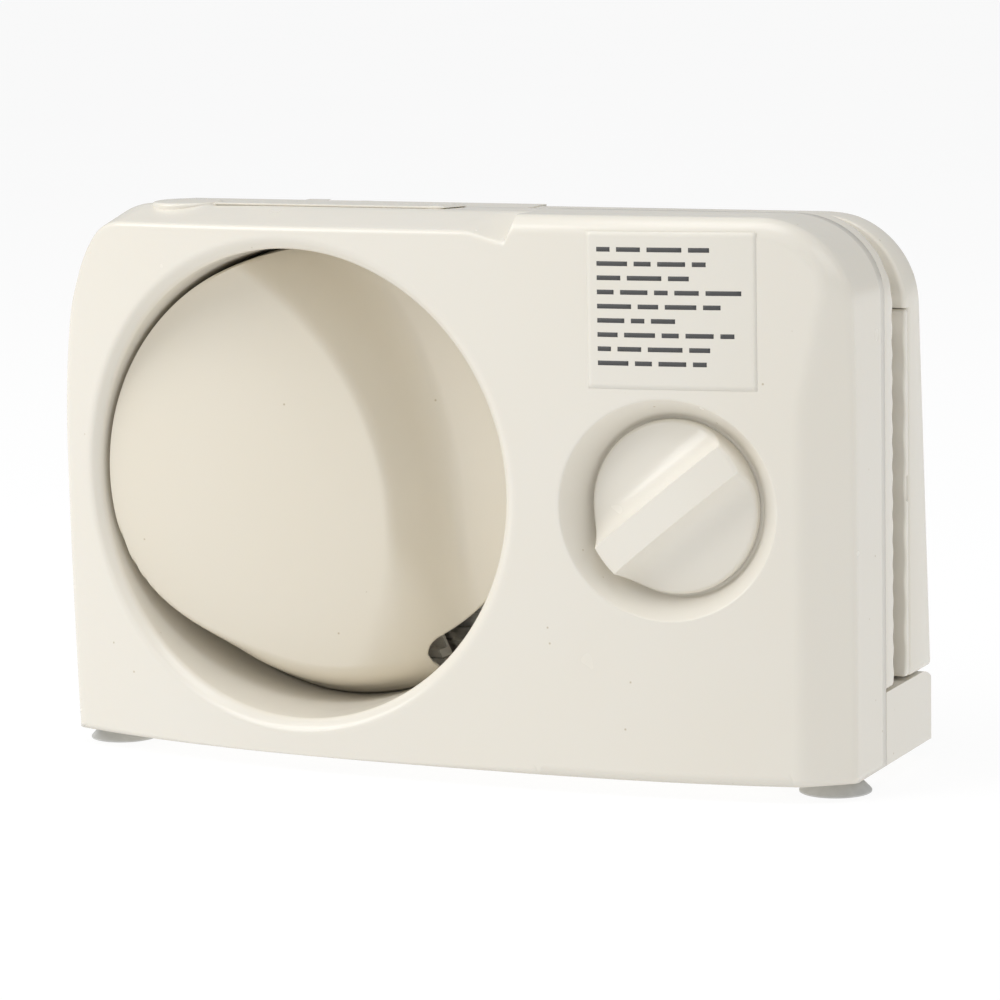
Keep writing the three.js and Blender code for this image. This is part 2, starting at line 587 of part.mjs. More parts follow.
// Suction foot about its own axis, from the table up; the neck snaps through the base cover.
function foot() {
  const profile = [
    [0, COVER_TOP + 2.3], [4.4, COVER_TOP + 2.3], [4.4, COVER_TOP + GAP], [FOOT_NECK, COVER_TOP + GAP],
    [FOOT_NECK, COVER_BOTTOM - GAP], [5, COVER_BOTTOM - GAP], [FOOT_RADIUS - 2, 2],
    [FOOT_RADIUS, 0.6], [FOOT_RADIUS, 0], [FOOT_RADIUS - 1.5, 0], [5, 2], [0, 2.4],
  ];
  const points = profile.map(([r, z]) => new THREE.Vector2(r, z));
  return solid(new THREE.LatheGeometry(points, 12).rotateX(Math.PI / 2));
}

// Screw with its head at y = 0 and its point towards -Y.
function screw(length) {
  return turned([
    [0, 0], [HEAD_RADIUS, 0], [HEAD_RADIUS, -HEAD_HEIGHT], [SCREW_RADIUS, -HEAD_HEIGHT - 0.2],
    [SCREW_RADIUS, -length], [0, -length - 1],
  ], 0, 0, 8);
}

const housingGroup = assembly();
piece(housingGroup, 'front_shell', frontShell(), cream);
piece(housingGroup, 'slice_bowl', sliceBowl(), bowlCream);
piece(housingGroup, 'rear_shell', rearShell(), cream);
piece(housingGroup, 'base_block', baseBlock(), cream);
piece(housingGroup, 'base_cover', baseCover(), cream);
FEET.forEach(([name, x, y]) => piece(assembly(x, y, 0), name, foot(), greyRubber));

SHELL_SCREWS.forEach(([x, z], i) => {
  const screwSite = assembly(x, COVER_REAR - 0.2, z);
  piece(screwSite, `shell_screw_${i + 1}`, screw(COVER_REAR - PARTING + 8), plated);
});
FRAME_SCREWS.forEach(([x, z], i) => {
  piece(assembly(x, FRAME_REAR + GAP + HEAD_HEIGHT, z), `frame_screw_${i + 1}`, screw(9), plated);
});
PLATE_SCREWS.forEach(([x, z], i) => {
  const screwSite = assembly(x, PLATE_FRONT - GAP - HEAD_HEIGHT, z);
  screwSite.rotation.x = Math.PI;
  piece(screwSite, `plate_screw_${i + 1}`, screw(7), plated);
});
BASE_SCREWS.forEach(([x, y], i) => {
  const screwSite = assembly(x, y, COVER_BOTTOM + 0.1);
  screwSite.rotation.x = -Math.PI / 2;
  piece(screwSite, `base_screw_${i + 1}`, screw(8), plated);
});

function label() {
  const x0 = RIGHT - 84;
  const steps = 8;
  const xs = Array.from({ length: steps + 1 }, (_, i) => x0 + LABEL_WIDTH * (i / steps));
  const face = xs.map((x) => [x, bowAt(x) - 0.6]);
  const back = xs.map((x) => [x, bowAt(x) - 0.25]).reverse();
  return slabAlongZ(outline([...face, ...back]), HEIGHT - 5 - LABEL_HEIGHT, HEIGHT - 5);
}
piece(housingGroup, 'label_plate', label(), labelFilm);

function switchPlate() {
  const y0 = BUTTON_Y - 8;
  const y1 = PARTING - 2;
  return slabAlongX(outline([
    [y0, topAt(y0) + GAP], [y1, topAt(y1) + GAP], [y1, topAt(y1) + 1.4], [y0, topAt(y0) + 1.4],
  ]), BUTTON_X + BUTTON_RADIUS + 1, BUTTON_X + BUTTON_RADIUS + 89);
}
piece(housingGroup, 'switch_plate', switchPlate(), cream);

// Grommet of the cord's way in, from its outer face inwards along X.
function cordInlet() {
  const profile = [
    [3, 0], [7, 0], [7, INLET_FLANGE], [INLET_RADIUS, INLET_FLANGE], [INLET_RADIUS, 7], [6, 7], [6, 9],
    [3, 9], [3, 0],
  ];
  const points = profile.map(([r, y]) => new THREE.Vector2(r, y));
  return solid(new THREE.LatheGeometry(points, 10).rotateZ(-Math.PI / 2));
}
const inletSite = assembly(leftAt(BOTTOM) - INLET_FLANGE - GAP, INLET_Y, INLET_Z);
piece(inletSite, 'cord_inlet', cordInlet(), nylon);

// ---------------------------------------------------------------- power switch

const buttonGroup = assembly(BUTTON_X, BUTTON_Y, BUTTON_TOP);

// Cap, retaining flange and stem; the stem works the switch below.
function powerButton() {
  const profile = [
    [0, 0], [BUTTON_RADIUS - 1.5, 0], [BUTTON_RADIUS, -1], [BUTTON_RADIUS, -5.4],
    [BUTTON_RADIUS + 1.2, -5.4], [BUTTON_RADIUS + 1.2, -6.8], [3, -6.8], [3, -12], [0, -12],
  ];
  const points = profile.map(([r, z]) => new THREE.Vector2(r, z));
  return solid(new THREE.LatheGeometry(points, 24).rotateX(Math.PI / 2));
}

function buttonSpring() {
  const profile = [[3.6, -7.1], [5.2, -7.1], [5.2, -14.2], [3.6, -14.2], [3.6, -7.1]];
  const points = profile.map(([r, z]) => new THREE.Vector2(r, z));
  return solid(new THREE.LatheGeometry(points, 16).rotateX(Math.PI / 2));
}

piece(buttonGroup, 'power_button', powerButton(), cream);
piece(buttonGroup, 'button_spring', buttonSpring(), plated);
piece(buttonGroup, 'switch_body', box(-10, 10, -6, 6, -22.5, -14.5), nylon);

// ---------------------------------------------------------------- gears

// Gear outline with straight flanks; tooth 0 points along angle phase, in radians.
function gearShape(teeth, module, phase, bore) {
  const pitch = teeth * module / 2;
  const corners = [
    [pitch - 1.2 * module, -1.05], [pitch + 0.85 * module, -0.33],
    [pitch + 0.85 * module, 0.33], [pitch - 1.2 * module, 1.05],
  ];
  const points = [];
  for (let i = 0; i < teeth; i += 1) {
    const middle = phase + (i / teeth) * 2 * Math.PI;
    for (const [radius, half] of corners) {
      const turn = middle + half * module / radius;
      points.push([radius * Math.cos(turn), radius * Math.sin(turn)]);
    }
  }
  const shape = outline(points);
  shape.holes.push(new THREE.Path().absarc(0, 0, bore, 0, 2 * Math.PI, true));
  return shape;
}

const jackFromBlade = Math.atan2(jack.z - BLADE_Z, jack.x - WELL_X);
const motorFromJack = Math.atan2(MOTOR_Z - jack.z, MOTOR_X - jack.x);
const gapPhase = (towards, teeth) => towards + Math.PI / teeth;

const bladeGroup = assembly(WELL_X, 0, BLADE_Z);
const HUB_RADIUS = 9;

function bladeGear() {
  const teeth = slabAlongY(
    gearShape(BLADE_TEETH, SLOW_MODULE, gapPhase(jackFromBlade, BLADE_TEETH), AXLE_RADIUS + SLIP),
    SLOW_GEAR_FRONT, SLOW_GEAR_REAR,
  );
  return teeth.add(ring(AXLE_RADIUS + SLIP, HUB_RADIUS, SLOW_GEAR_FRONT, BLADE_Y + BLADE_THICKNESS));
}

function blade() {
  const rear = BLADE_Y + BLADE_THICKNESS;
  return turned([
    [HUB_RADIUS + GAP, BLADE_Y], [BLADE_RADIUS - 8, BLADE_Y], [BLADE_RADIUS, rear - 0.2],
    [BLADE_RADIUS, rear], [HUB_RADIUS + GAP, rear], [HUB_RADIUS + GAP, BLADE_Y],
  ], 0, 0, ROUND);
}

function bladeLock() {
  const front = BLADE_Y + BLADE_THICKNESS + GAP;
  const slot = box(-9, 9, front + 0.6, front + 3, -1.5, 1.5);
  return turned([
    [0, front - 2.5], [AXLE_RADIUS, front - 2.5], [AXLE_RADIUS, front], [16, front], [15, front + 1.2],
    [0, front + 1.2],
  ]).subtract(slot);
}

function bladeAxle() {
  return turned([
    [0, PLATE_FRONT - 1.5], [7, PLATE_FRONT - 1.5], [7, PLATE_FRONT - GAP],
    [AXLE_RADIUS, PLATE_FRONT - GAP],
    [AXLE_RADIUS, COVER_REAR - 0.5], [0, COVER_REAR - 0.5],
  ], 0, 0, 16);
}

piece(bladeGroup, 'blade_axle', bladeAxle(), plated);
piece(bladeGroup, 'blade_gear', bladeGear(), acetal);
piece(bladeGroup, 'blade', blade(), steel);
piece(bladeGroup, 'blade_lock', bladeLock(), cream);

const jackGroup = assembly(jack.x, 0, jack.z);
const JACK_AXLE_RADIUS = 2.2;
piece(jackGroup, 'jack_axle', bar(JACK_AXLE_RADIUS, PLATE_FRONT, SLOW_GEAR_REAR), plated);
piece(jackGroup, 'jack_gear', slabAlongY(
  gearShape(JACK_TEETH, FAST_MODULE, gapPhase(motorFromJack, JACK_TEETH), JACK_AXLE_RADIUS + SLIP),
  FAST_GEAR_FRONT, FAST_GEAR_REAR,
), acetal);
piece(jackGroup, 'jack_pinion', slabAlongY(
  gearShape(JACK_PINION_TEETH, SLOW_MODULE, jackFromBlade + Math.PI, JACK_AXLE_RADIUS + SLIP),
  FAST_GEAR_REAR + GAP, SLOW_GEAR_REAR,
), plated);

function gearPlate() {
  const holes = [
    bar(AXLE_RADIUS + GAP, PLATE_FRONT - 1, PLATE_REAR + 1, WELL_X, BLADE_Z),
    bar(JACK_AXLE_RADIUS + GAP, PLATE_FRONT - 1, PLATE_REAR + 1, jack.x, jack.z, 12),
    bar(4, PLATE_FRONT - 1, PLATE_REAR + 1, MOTOR_X, MOTOR_Z, 12),
    ...PLATE_SCREWS.map(([x, z]) => bar(SCREW_RADIUS + GAP, PLATE_FRONT - 1, PLATE_REAR + 1, x, z, 8)),
  ];
  const plate = bar(GEAR_BOX_RADIUS - 3.5, PLATE_FRONT, PLATE_REAR, WELL_X, WELL_Z, 40);
  return holes.reduce((rest, hole) => rest.subtract(hole), plate);
}
piece(housingGroup, 'gear_plate', gearPlate(), plated);

// ---------------------------------------------------------------- motor

const motorGroup = assembly(MOTOR_X, 0, MOTOR_Z);
const CAN_WALL = 1.5;
const BUSH_RADIUS = 3.2;

function motorCan() {
  return turned([
    [BUSH_RADIUS + GAP, MOTOR_FRONT], [MOTOR_RADIUS, MOTOR_FRONT], [MOTOR_RADIUS, MOTOR_REAR],
    [MOTOR_RADIUS - CAN_WALL, MOTOR_REAR], [MOTOR_RADIUS - CAN_WALL, MOTOR_FRONT + CAN_WALL],
    [BUSH_RADIUS + GAP, MOTOR_FRONT + CAN_WALL], [BUSH_RADIUS + GAP, MOTOR_FRONT],
  ]);
}

const CAP_FRONT = MOTOR_REAR - 1.6;
const MAGNET_OUTER = MOTOR_RADIUS - CAN_WALL - GAP;
const CORE_FRONT = MOTOR_FRONT + 4;
const CORE_REAR = CAP_FRONT - 4.4;

piece(motorGroup, 'motor_can', motorCan(), plated);
piece(motorGroup, 'motor_cap',
  ring(BUSH_RADIUS + GAP, MOTOR_RADIUS - CAN_WALL - GAP, CAP_FRONT, MOTOR_REAR), nylon);
piece(motorGroup, 'magnet_upper',
  slabAlongY(sectorShape(MAGNET_OUTER - 3, MAGNET_OUTER, 30, 150), CORE_FRONT, CORE_REAR), ferrite);
piece(motorGroup, 'magnet_lower',
  slabAlongY(sectorShape(MAGNET_OUTER - 3, MAGNET_OUTER, 210, 330), CORE_FRONT, CORE_REAR), ferrite);
piece(motorGroup, 'front_bush', ring(MOTOR_SHAFT_RADIUS + GAP, BUSH_RADIUS,
  MOTOR_FRONT, MOTOR_FRONT + 2.4, 0, 0, 12), bronze);
piece(motorGroup, 'rear_bush', ring(MOTOR_SHAFT_RADIUS + GAP, BUSH_RADIUS,
  CAP_FRONT, MOTOR_REAR, 0, 0, 12), bronze);
piece(motorGroup, 'motor_shaft',
  bar(MOTOR_SHAFT_RADIUS, MOTOR_FRONT, FAST_GEAR_REAR, 0, 0, 12), plated);
piece(motorGroup, 'armature', ring(MOTOR_SHAFT_RADIUS + GAP, MAGNET_OUTER - 3.6,
  CORE_FRONT, CORE_REAR), copper);
piece(motorGroup, 'commutator', ring(MOTOR_SHAFT_RADIUS + GAP, 5,
  CORE_REAR + GAP, CAP_FRONT - GAP, 0, 0, 16), copper);
piece(motorGroup, 'brush_left', box(-12, -5 - GAP, CORE_REAR + 0.8, CAP_FRONT - 0.8, -1.5, 1.5), ferrite);
piece(motorGroup, 'brush_right', box(5 + GAP, 12, CORE_REAR + 0.8, CAP_FRONT - 0.8, -1.5, 1.5), ferrite);
piece(motorGroup, 'motor_pinion', slabAlongY(
  gearShape(MOTOR_PINION_TEETH, FAST_MODULE, motorFromJack + Math.PI, MOTOR_SHAFT_RADIUS + GAP),
  FAST_GEAR_FRONT, FAST_GEAR_REAR,
), bronze);

// ---------------------------------------------------------------- thickness adjuster

const knobGroup = assembly(KNOB_X, 0, KNOB_Z);

function thicknessKnob() {
  const rear = DISH_FLOOR - SLIP;
  const front = rear - KNOB_DOME;
  const dome = turned([
    [0, rear], [KNOB_RADIUS, rear], [KNOB_RADIUS - 0.6, rear - KNOB_DOME * 0.5],
    [KNOB_RADIUS * 0.86, rear - KNOB_DOME * 0.8], [KNOB_RADIUS * 0.5, front - 0.6], [0, front - 1],
  ], 0, 0, 28);
  const half = GRIP_WIDTH / 2;
  const grip = slabAlongX(outline([
    [rear - 2, -half], [FRONT + 3, -half], [FRONT, -half + 2.5], [FRONT, half - 2.5],
    [FRONT + 3, half], [rear - 2, half],
  ]), -KNOB_RADIUS, KNOB_RADIUS).rotate([0, -GRIP_ANGLE, 0]);
  const reach = bar(KNOB_RADIUS - 0.4, FRONT - 1, rear, 0, 0, 28);
  const bore = bar(SHAFT_RADIUS + GAP, rear - 5, rear + 1);
  return dome.add(grip.intersect(reach)).subtract(bore);
}

// End cam: a ring whose back rises evenly from the thinnest point to the thickest.
function thicknessCam() {
  const lead = GAUGE_TRAVEL / KNOB_TURN;
  const margin = 14;
  const steps = 20;
  const inner = CAM_RADIUS - CAM_TRACK;
  const positions = [];
  const index = [];
  for (let i = 0; i <= steps; i += 1) {
    const turn = -margin + (KNOB_TURN + 2 * margin) * (i / steps);
    const angle = THREE.MathUtils.degToRad(90 - turn);
    for (const [radius, y] of [
      [inner, CAM_BACK - 1], [CAM_RADIUS, CAM_BACK - 1],
      [CAM_RADIUS, CAM_BACK + 1 + lead * turn], [inner, CAM_BACK + 1 + lead * turn],
    ]) positions.push(radius * Math.cos(angle), y, radius * Math.sin(angle));
    if (i === steps) break;
    for (let k = 0; k < 4; k += 1) {
      const [a, b] = [4 * i + k, 4 * i + (k + 1) % 4];
      index.push(a, b, b + 4, a, b + 4, a + 4);
    }
  }
  const last = 4 * steps;
  index.push(0, 2, 1, 0, 3, 2, last, last + 1, last + 2, last, last + 2, last + 3);
  const geometry = new THREE.BufferGeometry();
  geometry.setAttribute('position', new THREE.Float32BufferAttribute(positions, 3));
  geometry.setIndex(index);
  return solid(geometry).add(ring(SHAFT_RADIUS + GAP, CAM_RADIUS, CAM_FRONT, CAM_BACK));
}

piece(knobGroup, 'thickness_knob', thicknessKnob(), cream);
piece(knobGroup, 'knob_shaft', bar(SHAFT_RADIUS, DISH_FLOOR - SLIP - 4.6, FRAME_REAR - GAP), plated);
piece(knobGroup, 'thickness_cam', thicknessCam(), acetal);

function guideFrame() {
  const plate = box(-22, 22, FRAME_FRONT, FRAME_REAR, -62, 62);
  const holes = [
    bar(SHAFT_RADIUS + SLIP, FRAME_FRONT - 1, FRAME_REAR + 1),
    box(-3, 3, FRAME_FRONT - 1, FRAME_REAR + 1, CAM_MID - 3.2, CAM_MID + 3.2),
    ...[-ROD_SPREAD, ROD_SPREAD].map((z) =>
      bar(ROD_RADIUS + SLIP, FRAME_FRONT - 1, FRAME_REAR + 1, 0, z)),
    ...FRAME_SCREWS.map(([x, z]) =>
      bar(SCREW_RADIUS + GAP, FRAME_FRONT - 1, FRAME_REAR + 1, x - KNOB_X, z - KNOB_Z, 8)),
  ];
  return holes.reduce((rest, hole) => rest.subtract(hole), plate);
}
piece(knobGroup, 'guide_frame', guideFrame(), plated);

// Follower: a foot on the gauge plate and a finger that rides on the cam's ramp.
function camFollower() {
  const tip = CAM_BACK + 1 + 0.5;
  return box(-1.5, 1.5, tip, PARTING - 1, CAM_MID - 2.2, CAM_MID + 2.2)
    .add(box(-8, 8, PARTING - 2.2, PARTING - GAP, CAM_MID - 8, CAM_MID + 8));
}
piece(knobGroup, 'cam_follower', camFollower(), acetal);

[['lower', -ROD_SPREAD], ['upper', ROD_SPREAD]].forEach(([side, z]) => {
  piece(knobGroup, `guide_rod_${side}`, bar(ROD_RADIUS, ROD_FRONT + 1, PARTING - GAP, 0, z)
    .add(bar(ROD_RADIUS + 2.5, ROD_FRONT, ROD_FRONT + 2, 0, z)), plated);
  piece(knobGroup, `gauge_spring_${side}`, ring(ROD_RADIUS + SLIP, ROD_RADIUS + 2.2,
    ROD_FRONT + 2 + GAP, FRAME_FRONT - GAP, 0, z, 16), plated);
});

// Ribs across a face: shallow grooves along X, one each RIB_PITCH.
function grooves(x0, x1, y, z0, z1) {
  const cuts = [];
  for (let z = z0 + RIB_PITCH; z < z1 - RIB_PITCH / 2; z += RIB_PITCH) {
    cuts.push(slabAlongX(outline([
      [y - 1, z - RIB_PITCH * 0.3], [y + 1, z - RIB_PITCH * 0.3], [y + 1, z + RIB_PITCH * 0.3],
      [y - 1, z + RIB_PITCH * 0.3],
    ]), x0, x1));
  }
  return cuts;
}

// Gauge plate with a skirt that telescopes into the front shell.
function gaugePlate() {
  const low = TRAY_BOTTOM;
  const top = topAt(PARTING);
  const left = WELL_X + 70;
  const plate = slabAlongY(frontOutline(0, low, top), PARTING, GAUGE_REAR);
  const inset = WALL + SLIP;
  const skirt = slabAlongY(frontOutline(inset, low + 1, top), PARTING - 6, PARTING + 1)
    .subtract(slabAlongY(frontOutline(inset + 1.8, low - 9, top), PARTING - 7, PARTING + 1));
  const keep = box(left, RIGHT + 1, FRONT, REAR, low, HEIGHT);
  const clear = [
    bar(BLADE_RADIUS + 2.5, FRONT, REAR, WELL_X, BLADE_Z, ROUND),
    bar(WELL_RADIUS + SKIN + 0.8, FRONT, REAR, WELL_X, WELL_Z, ROUND),
    ...grooves(left - 1, RIGHT + 1, GAUGE_REAR + 1 - RIB_DEPTH, low, HEIGHT - 6),
  ];
  return clear.reduce((rest, cut) => rest.subtract(cut), plate.add(skirt).intersect(keep));
}
piece(housingGroup, 'gauge_plate', gaugePlate(), cream);

// ---------------------------------------------------------------- fold-up tray

const trayGroup = assembly();

function foodTray() {
  const top = BOTTOM + TRAY_TOP;
  const profile = (inset, low, front) => outline([
    [front, low], [REAR - inset, low], [TRAY_FRONT + TRAY_TOP_DEPTH - inset, top - inset],
    [front, top - inset],
  ]);
  const body = slabAlongX(profile(0, TRAY_BOTTOM, TRAY_FRONT), LEFT, RIGHT)
    .intersect(slabAlongY(frontOutline(0, TRAY_BOTTOM, top), FRONT, REAR + 1));
  const deck = CARRIAGE_REAR + SLIP;
  const hollow = slabAlongX(profile(WALL, TRAY_BOTTOM - 1, deck + WALL), LEFT + 5, RIGHT - WALL)
    .intersect(slabAlongY(frontOutline(WALL, TRAY_BOTTOM - 1, top), FRONT, REAR + 1));
  const recess = box(LEFT - 1, RIGHT + 1, TRAY_FRONT - 1, deck,
    TRAY_BOTTOM - 1, BOTTOM + CARRIAGE_TOP + SLIP);
  const rail = box(LEFT + 3, RIGHT - 3, deck - 1.6, deck + 1, KNOB_Z - RAIL_HALF, KNOB_Z + RAIL_HALF)
    .intersect(body);
  const ribs = [-HINGE_SPREAD, HINGE_SPREAD].map((x) =>
    box(x - EAR_WIDTH / 2, x + EAR_WIDTH / 2, deck, REAR, TRAY_BOTTOM, TRAY_BOTTOM + 30).intersect(body));
  const ears = [-HINGE_SPREAD, HINGE_SPREAD].map((x) => {
    const profileEar = new THREE.Shape();
    profileEar.moveTo(HINGE_Y + 4.6, TRAY_BOTTOM + 2);
    profileEar.lineTo(HINGE_Y - 4.6, TRAY_BOTTOM + 2);
    profileEar.lineTo(HINGE_Y - 4.6, HINGE_Z);
    profileEar.absarc(HINGE_Y, HINGE_Z, 4.6, Math.PI, 2 * Math.PI, false);
    profileEar.closePath();
    return slabAlongX(profileEar, x - EAR_WIDTH / 2, x + EAR_WIDTH / 2)
      .subtract(rodAlongX(HINGE_RADIUS + GAP, x - 8, x + 8, HINGE_Y, HINGE_Z));
  });
  const shell = body.subtract(hollow).subtract(recess);
  return joined(shell, rail, ...ribs, ...ears);
}

function foodCarriage() {
  const low = TRAY_BOTTOM + 0.6;
  const high = BOTTOM + CARRIAGE_TOP;
  const x0 = RIGHT - CARRIAGE_LENGTH;
  const railGroove = box(x0 - 1, RIGHT + 1, CARRIAGE_REAR - 1.6, CARRIAGE_REAR + 1,
    KNOB_Z - RAIL_HALF - SLIP, KNOB_Z + RAIL_HALF + SLIP);
  const cuts = [railGroove, ...grooves(x0 - 1, RIGHT + 1, TRAY_FRONT - 1 + RIB_DEPTH, low, high)];
  const slab = box(x0, RIGHT, TRAY_FRONT, CARRIAGE_REAR, low, high);
  return cuts.reduce((rest, cut) => rest.subtract(cut), slab);
}

piece(trayGroup, 'food_tray', foodTray(), cream);
piece(trayGroup, 'food_carriage', foodCarriage(), cream);
[['left', -HINGE_SPREAD], ['right', HINGE_SPREAD]].forEach(([side, x]) => {
  const pin = rodAlongX(HINGE_RADIUS, x - 8, x + 8, HINGE_Y, HINGE_Z);
  piece(trayGroup, `tray_hinge_pin_${side}`, pin, plated);
});

export default group;
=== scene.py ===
"""Electric fold-up food slicer: smooth shells, knob, tray, springs and finishes round the fixed frame."""

import json
import math

import bmesh
import bpy
import numpy as np
from bpy.props import FloatProperty, FloatVectorProperty, IntProperty, PointerProperty
from mathutils import Matrix, Vector


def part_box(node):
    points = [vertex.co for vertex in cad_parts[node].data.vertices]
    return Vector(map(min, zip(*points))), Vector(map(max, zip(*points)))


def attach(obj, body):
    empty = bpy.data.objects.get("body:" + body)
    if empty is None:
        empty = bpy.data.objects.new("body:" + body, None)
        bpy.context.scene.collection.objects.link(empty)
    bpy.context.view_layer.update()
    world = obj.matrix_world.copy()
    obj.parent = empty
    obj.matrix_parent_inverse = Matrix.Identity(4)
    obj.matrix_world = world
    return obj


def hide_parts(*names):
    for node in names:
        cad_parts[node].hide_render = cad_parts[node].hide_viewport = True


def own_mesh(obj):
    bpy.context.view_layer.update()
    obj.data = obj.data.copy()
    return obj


bl_info = {
    "name": "Fold-up Food Slicer",
    "version": (1, 0, 0),
    "blender": (4, 5, 0),
    "location": "View3D > Sidebar > Food Slicer",
    "description": "Builds the smooth shells, knob, tray, springs and finishes of an electric food slicer",
    "category": "Add Mesh",
}

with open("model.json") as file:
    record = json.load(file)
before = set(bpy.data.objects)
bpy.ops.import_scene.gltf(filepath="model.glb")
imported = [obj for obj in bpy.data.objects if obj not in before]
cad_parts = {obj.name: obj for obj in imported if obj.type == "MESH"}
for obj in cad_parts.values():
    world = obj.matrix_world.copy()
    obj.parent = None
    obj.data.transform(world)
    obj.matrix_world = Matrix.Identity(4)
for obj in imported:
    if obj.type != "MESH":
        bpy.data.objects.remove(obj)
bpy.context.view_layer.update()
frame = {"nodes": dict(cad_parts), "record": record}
MM = 0.001


def span(node):
    """Lowest and highest corner of a frame node, in millimetres."""
    low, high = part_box(node)
    return np.array(low) / MM, np.array(high) / MM


def across_axis(low, high, axis):
    """Middle of a box, with 0 along the axis, and half its width in X."""
    middle = (low + high) / 2
    middle["XYZ".index(axis)] = 0.0
    return middle, (high[0] - low[0]) / 2


# ---- places, millimetres, from the frame

(LEFT, FRONT, BOTTOM), (RIGHT, WELL_END, TOP) = span("front_shell")
GAUGE_LOW, GAUGE_HIGH = span("gauge_plate")
SKIRT_DEPTH = 6.0                      # of the gauge plate, inside the front shell
PARTING = GAUGE_LOW[1] + SKIRT_DEPTH
BOWL_LOW, BOWL_HIGH = span("slice_bowl")
BOWL_RADIUS = (BOWL_HIGH[2] - BOWL_LOW[2]) / 2
WELL_RADIUS = BOWL_RADIUS + 0.3
WELL_X = BOWL_LOW[0] + BOWL_RADIUS
WELL_Z = (BOWL_LOW[2] + BOWL_HIGH[2]) / 2
BOWL_SKIN = 2.2
FLOOR = BOWL_HIGH[1] - BOWL_SKIN
KNOB_LOW, KNOB_HIGH = span("thickness_knob")
KNOB_RADIUS = (KNOB_HIGH[0] - KNOB_LOW[0]) / 2
KNOB_X = (KNOB_LOW[0] + KNOB_HIGH[0]) / 2
KNOB_Z = (KNOB_LOW[2] + KNOB_HIGH[2]) / 2
KNOB_REAR = KNOB_HIGH[1]
DISH_FLOOR = KNOB_REAR + 0.4
_, BASE_HIGH = span("base_block")
TRAY_LOW, TRAY_HIGH = span("food_tray")
CARRIAGE_LOW, CARRIAGE_HIGH = span("food_carriage")
TRAY_BOTTOM = BASE_HIGH[2] + 0.8

# The housing's shape
FULLEST = 100.0                        # height of the left end's fullest place, above the lower edge
LEAN_ABOVE = 0.0017
LEAN_BELOW = 0.0002
SHOULDER = 25.0                        # below the top, where the left corner starts
LEFT_CORNER = 30.0                     # along the top
RIGHT_CORNER = 30.0
TOP_SLOPE = 0.0452                     # fall of the top towards the rear
BOW_DROP = 12.5
BOW_POWER = 2.7
BOW_CROWN = 8.0
CHAMFER_WIDTH = 15.0
CHAMFER_DEPTH = 7.5
CHAMFER_EASES = (2.4, 1.7)             # at the front and at the side, as in the next two
BAND_EASES = (1.8, 3.0)
FILLET = 4.2                           # top edge right of the notch
FILLET_EASE = 2.9
NOTCH = (32.4, 3.2)                    # start and width, where the sloping band ends
SPLIT_X = 42.0                         # plane between the bowl's half and the knob's half
WALL_POINTS = 84                       # of the outline, up the left end
CORNER_POINTS = 26


# ---- formulas shared by the surfaces


def smooth(t):
    """Smooth step from 0 to 1."""
    t = np.clip(t, 0.0, 1.0)
    return t * t * (3.0 - 2.0 * t)


def mix(a, b, t):
    return a + (b - a) * t


def soft_ramp(u, ease):
    """0 below u = 0, 1 above u = 1 and a straight line between, with corners eased by hyperbolas."""
    return 0.5 * (1.0 + np.sqrt(u * u + ease * ease) - np.sqrt((u - 1.0) ** 2 + ease * ease))


def smooth_max(a, b, k):
    """The larger of two heights, with a parabolic fillet where they are within k of each other."""
    near = np.maximum(k - np.abs(a - b), 0.0) / k
    return np.maximum(a, b) + near * near * k / 4.0


def smooth_min(a, b, k):
    return -smooth_max(-a, -b, k)


def bow(x):
    """Front surface in plan: a power curve that falls back faster towards the ends."""
    half = RIGHT - CHAMFER_WIDTH
    return FRONT + BOW_DROP * (np.abs(x - BOW_CROWN) / half) ** BOW_POWER


def lean(z):
    """Inset of the left end: a parabola above and a flatter one below its fullest height."""
    rise = z - (BOTTOM + FULLEST)
    return np.where(rise > 0, LEAN_ABOVE, LEAN_BELOW) * rise * rise


def left_round(s, radius):
    """Depth of a quarter circle at distance s inside the left end."""
    inside = np.clip(radius - s, 0.0, radius)
    return radius - np.sqrt(radius * radius - inside * inside)


def left_weight(z):
    """1 where the left end's edge is round, fading to 0 at the sloping top."""
    return 1.0 - smooth((z - (TOP - 41.0)) / 35.0)


def face_depth(x, z, radius):
    """The housing's front: the bow plus the left end's round edge."""
    return bow(x) + left_weight(z) * left_round(x - LEFT - lean(z), radius)


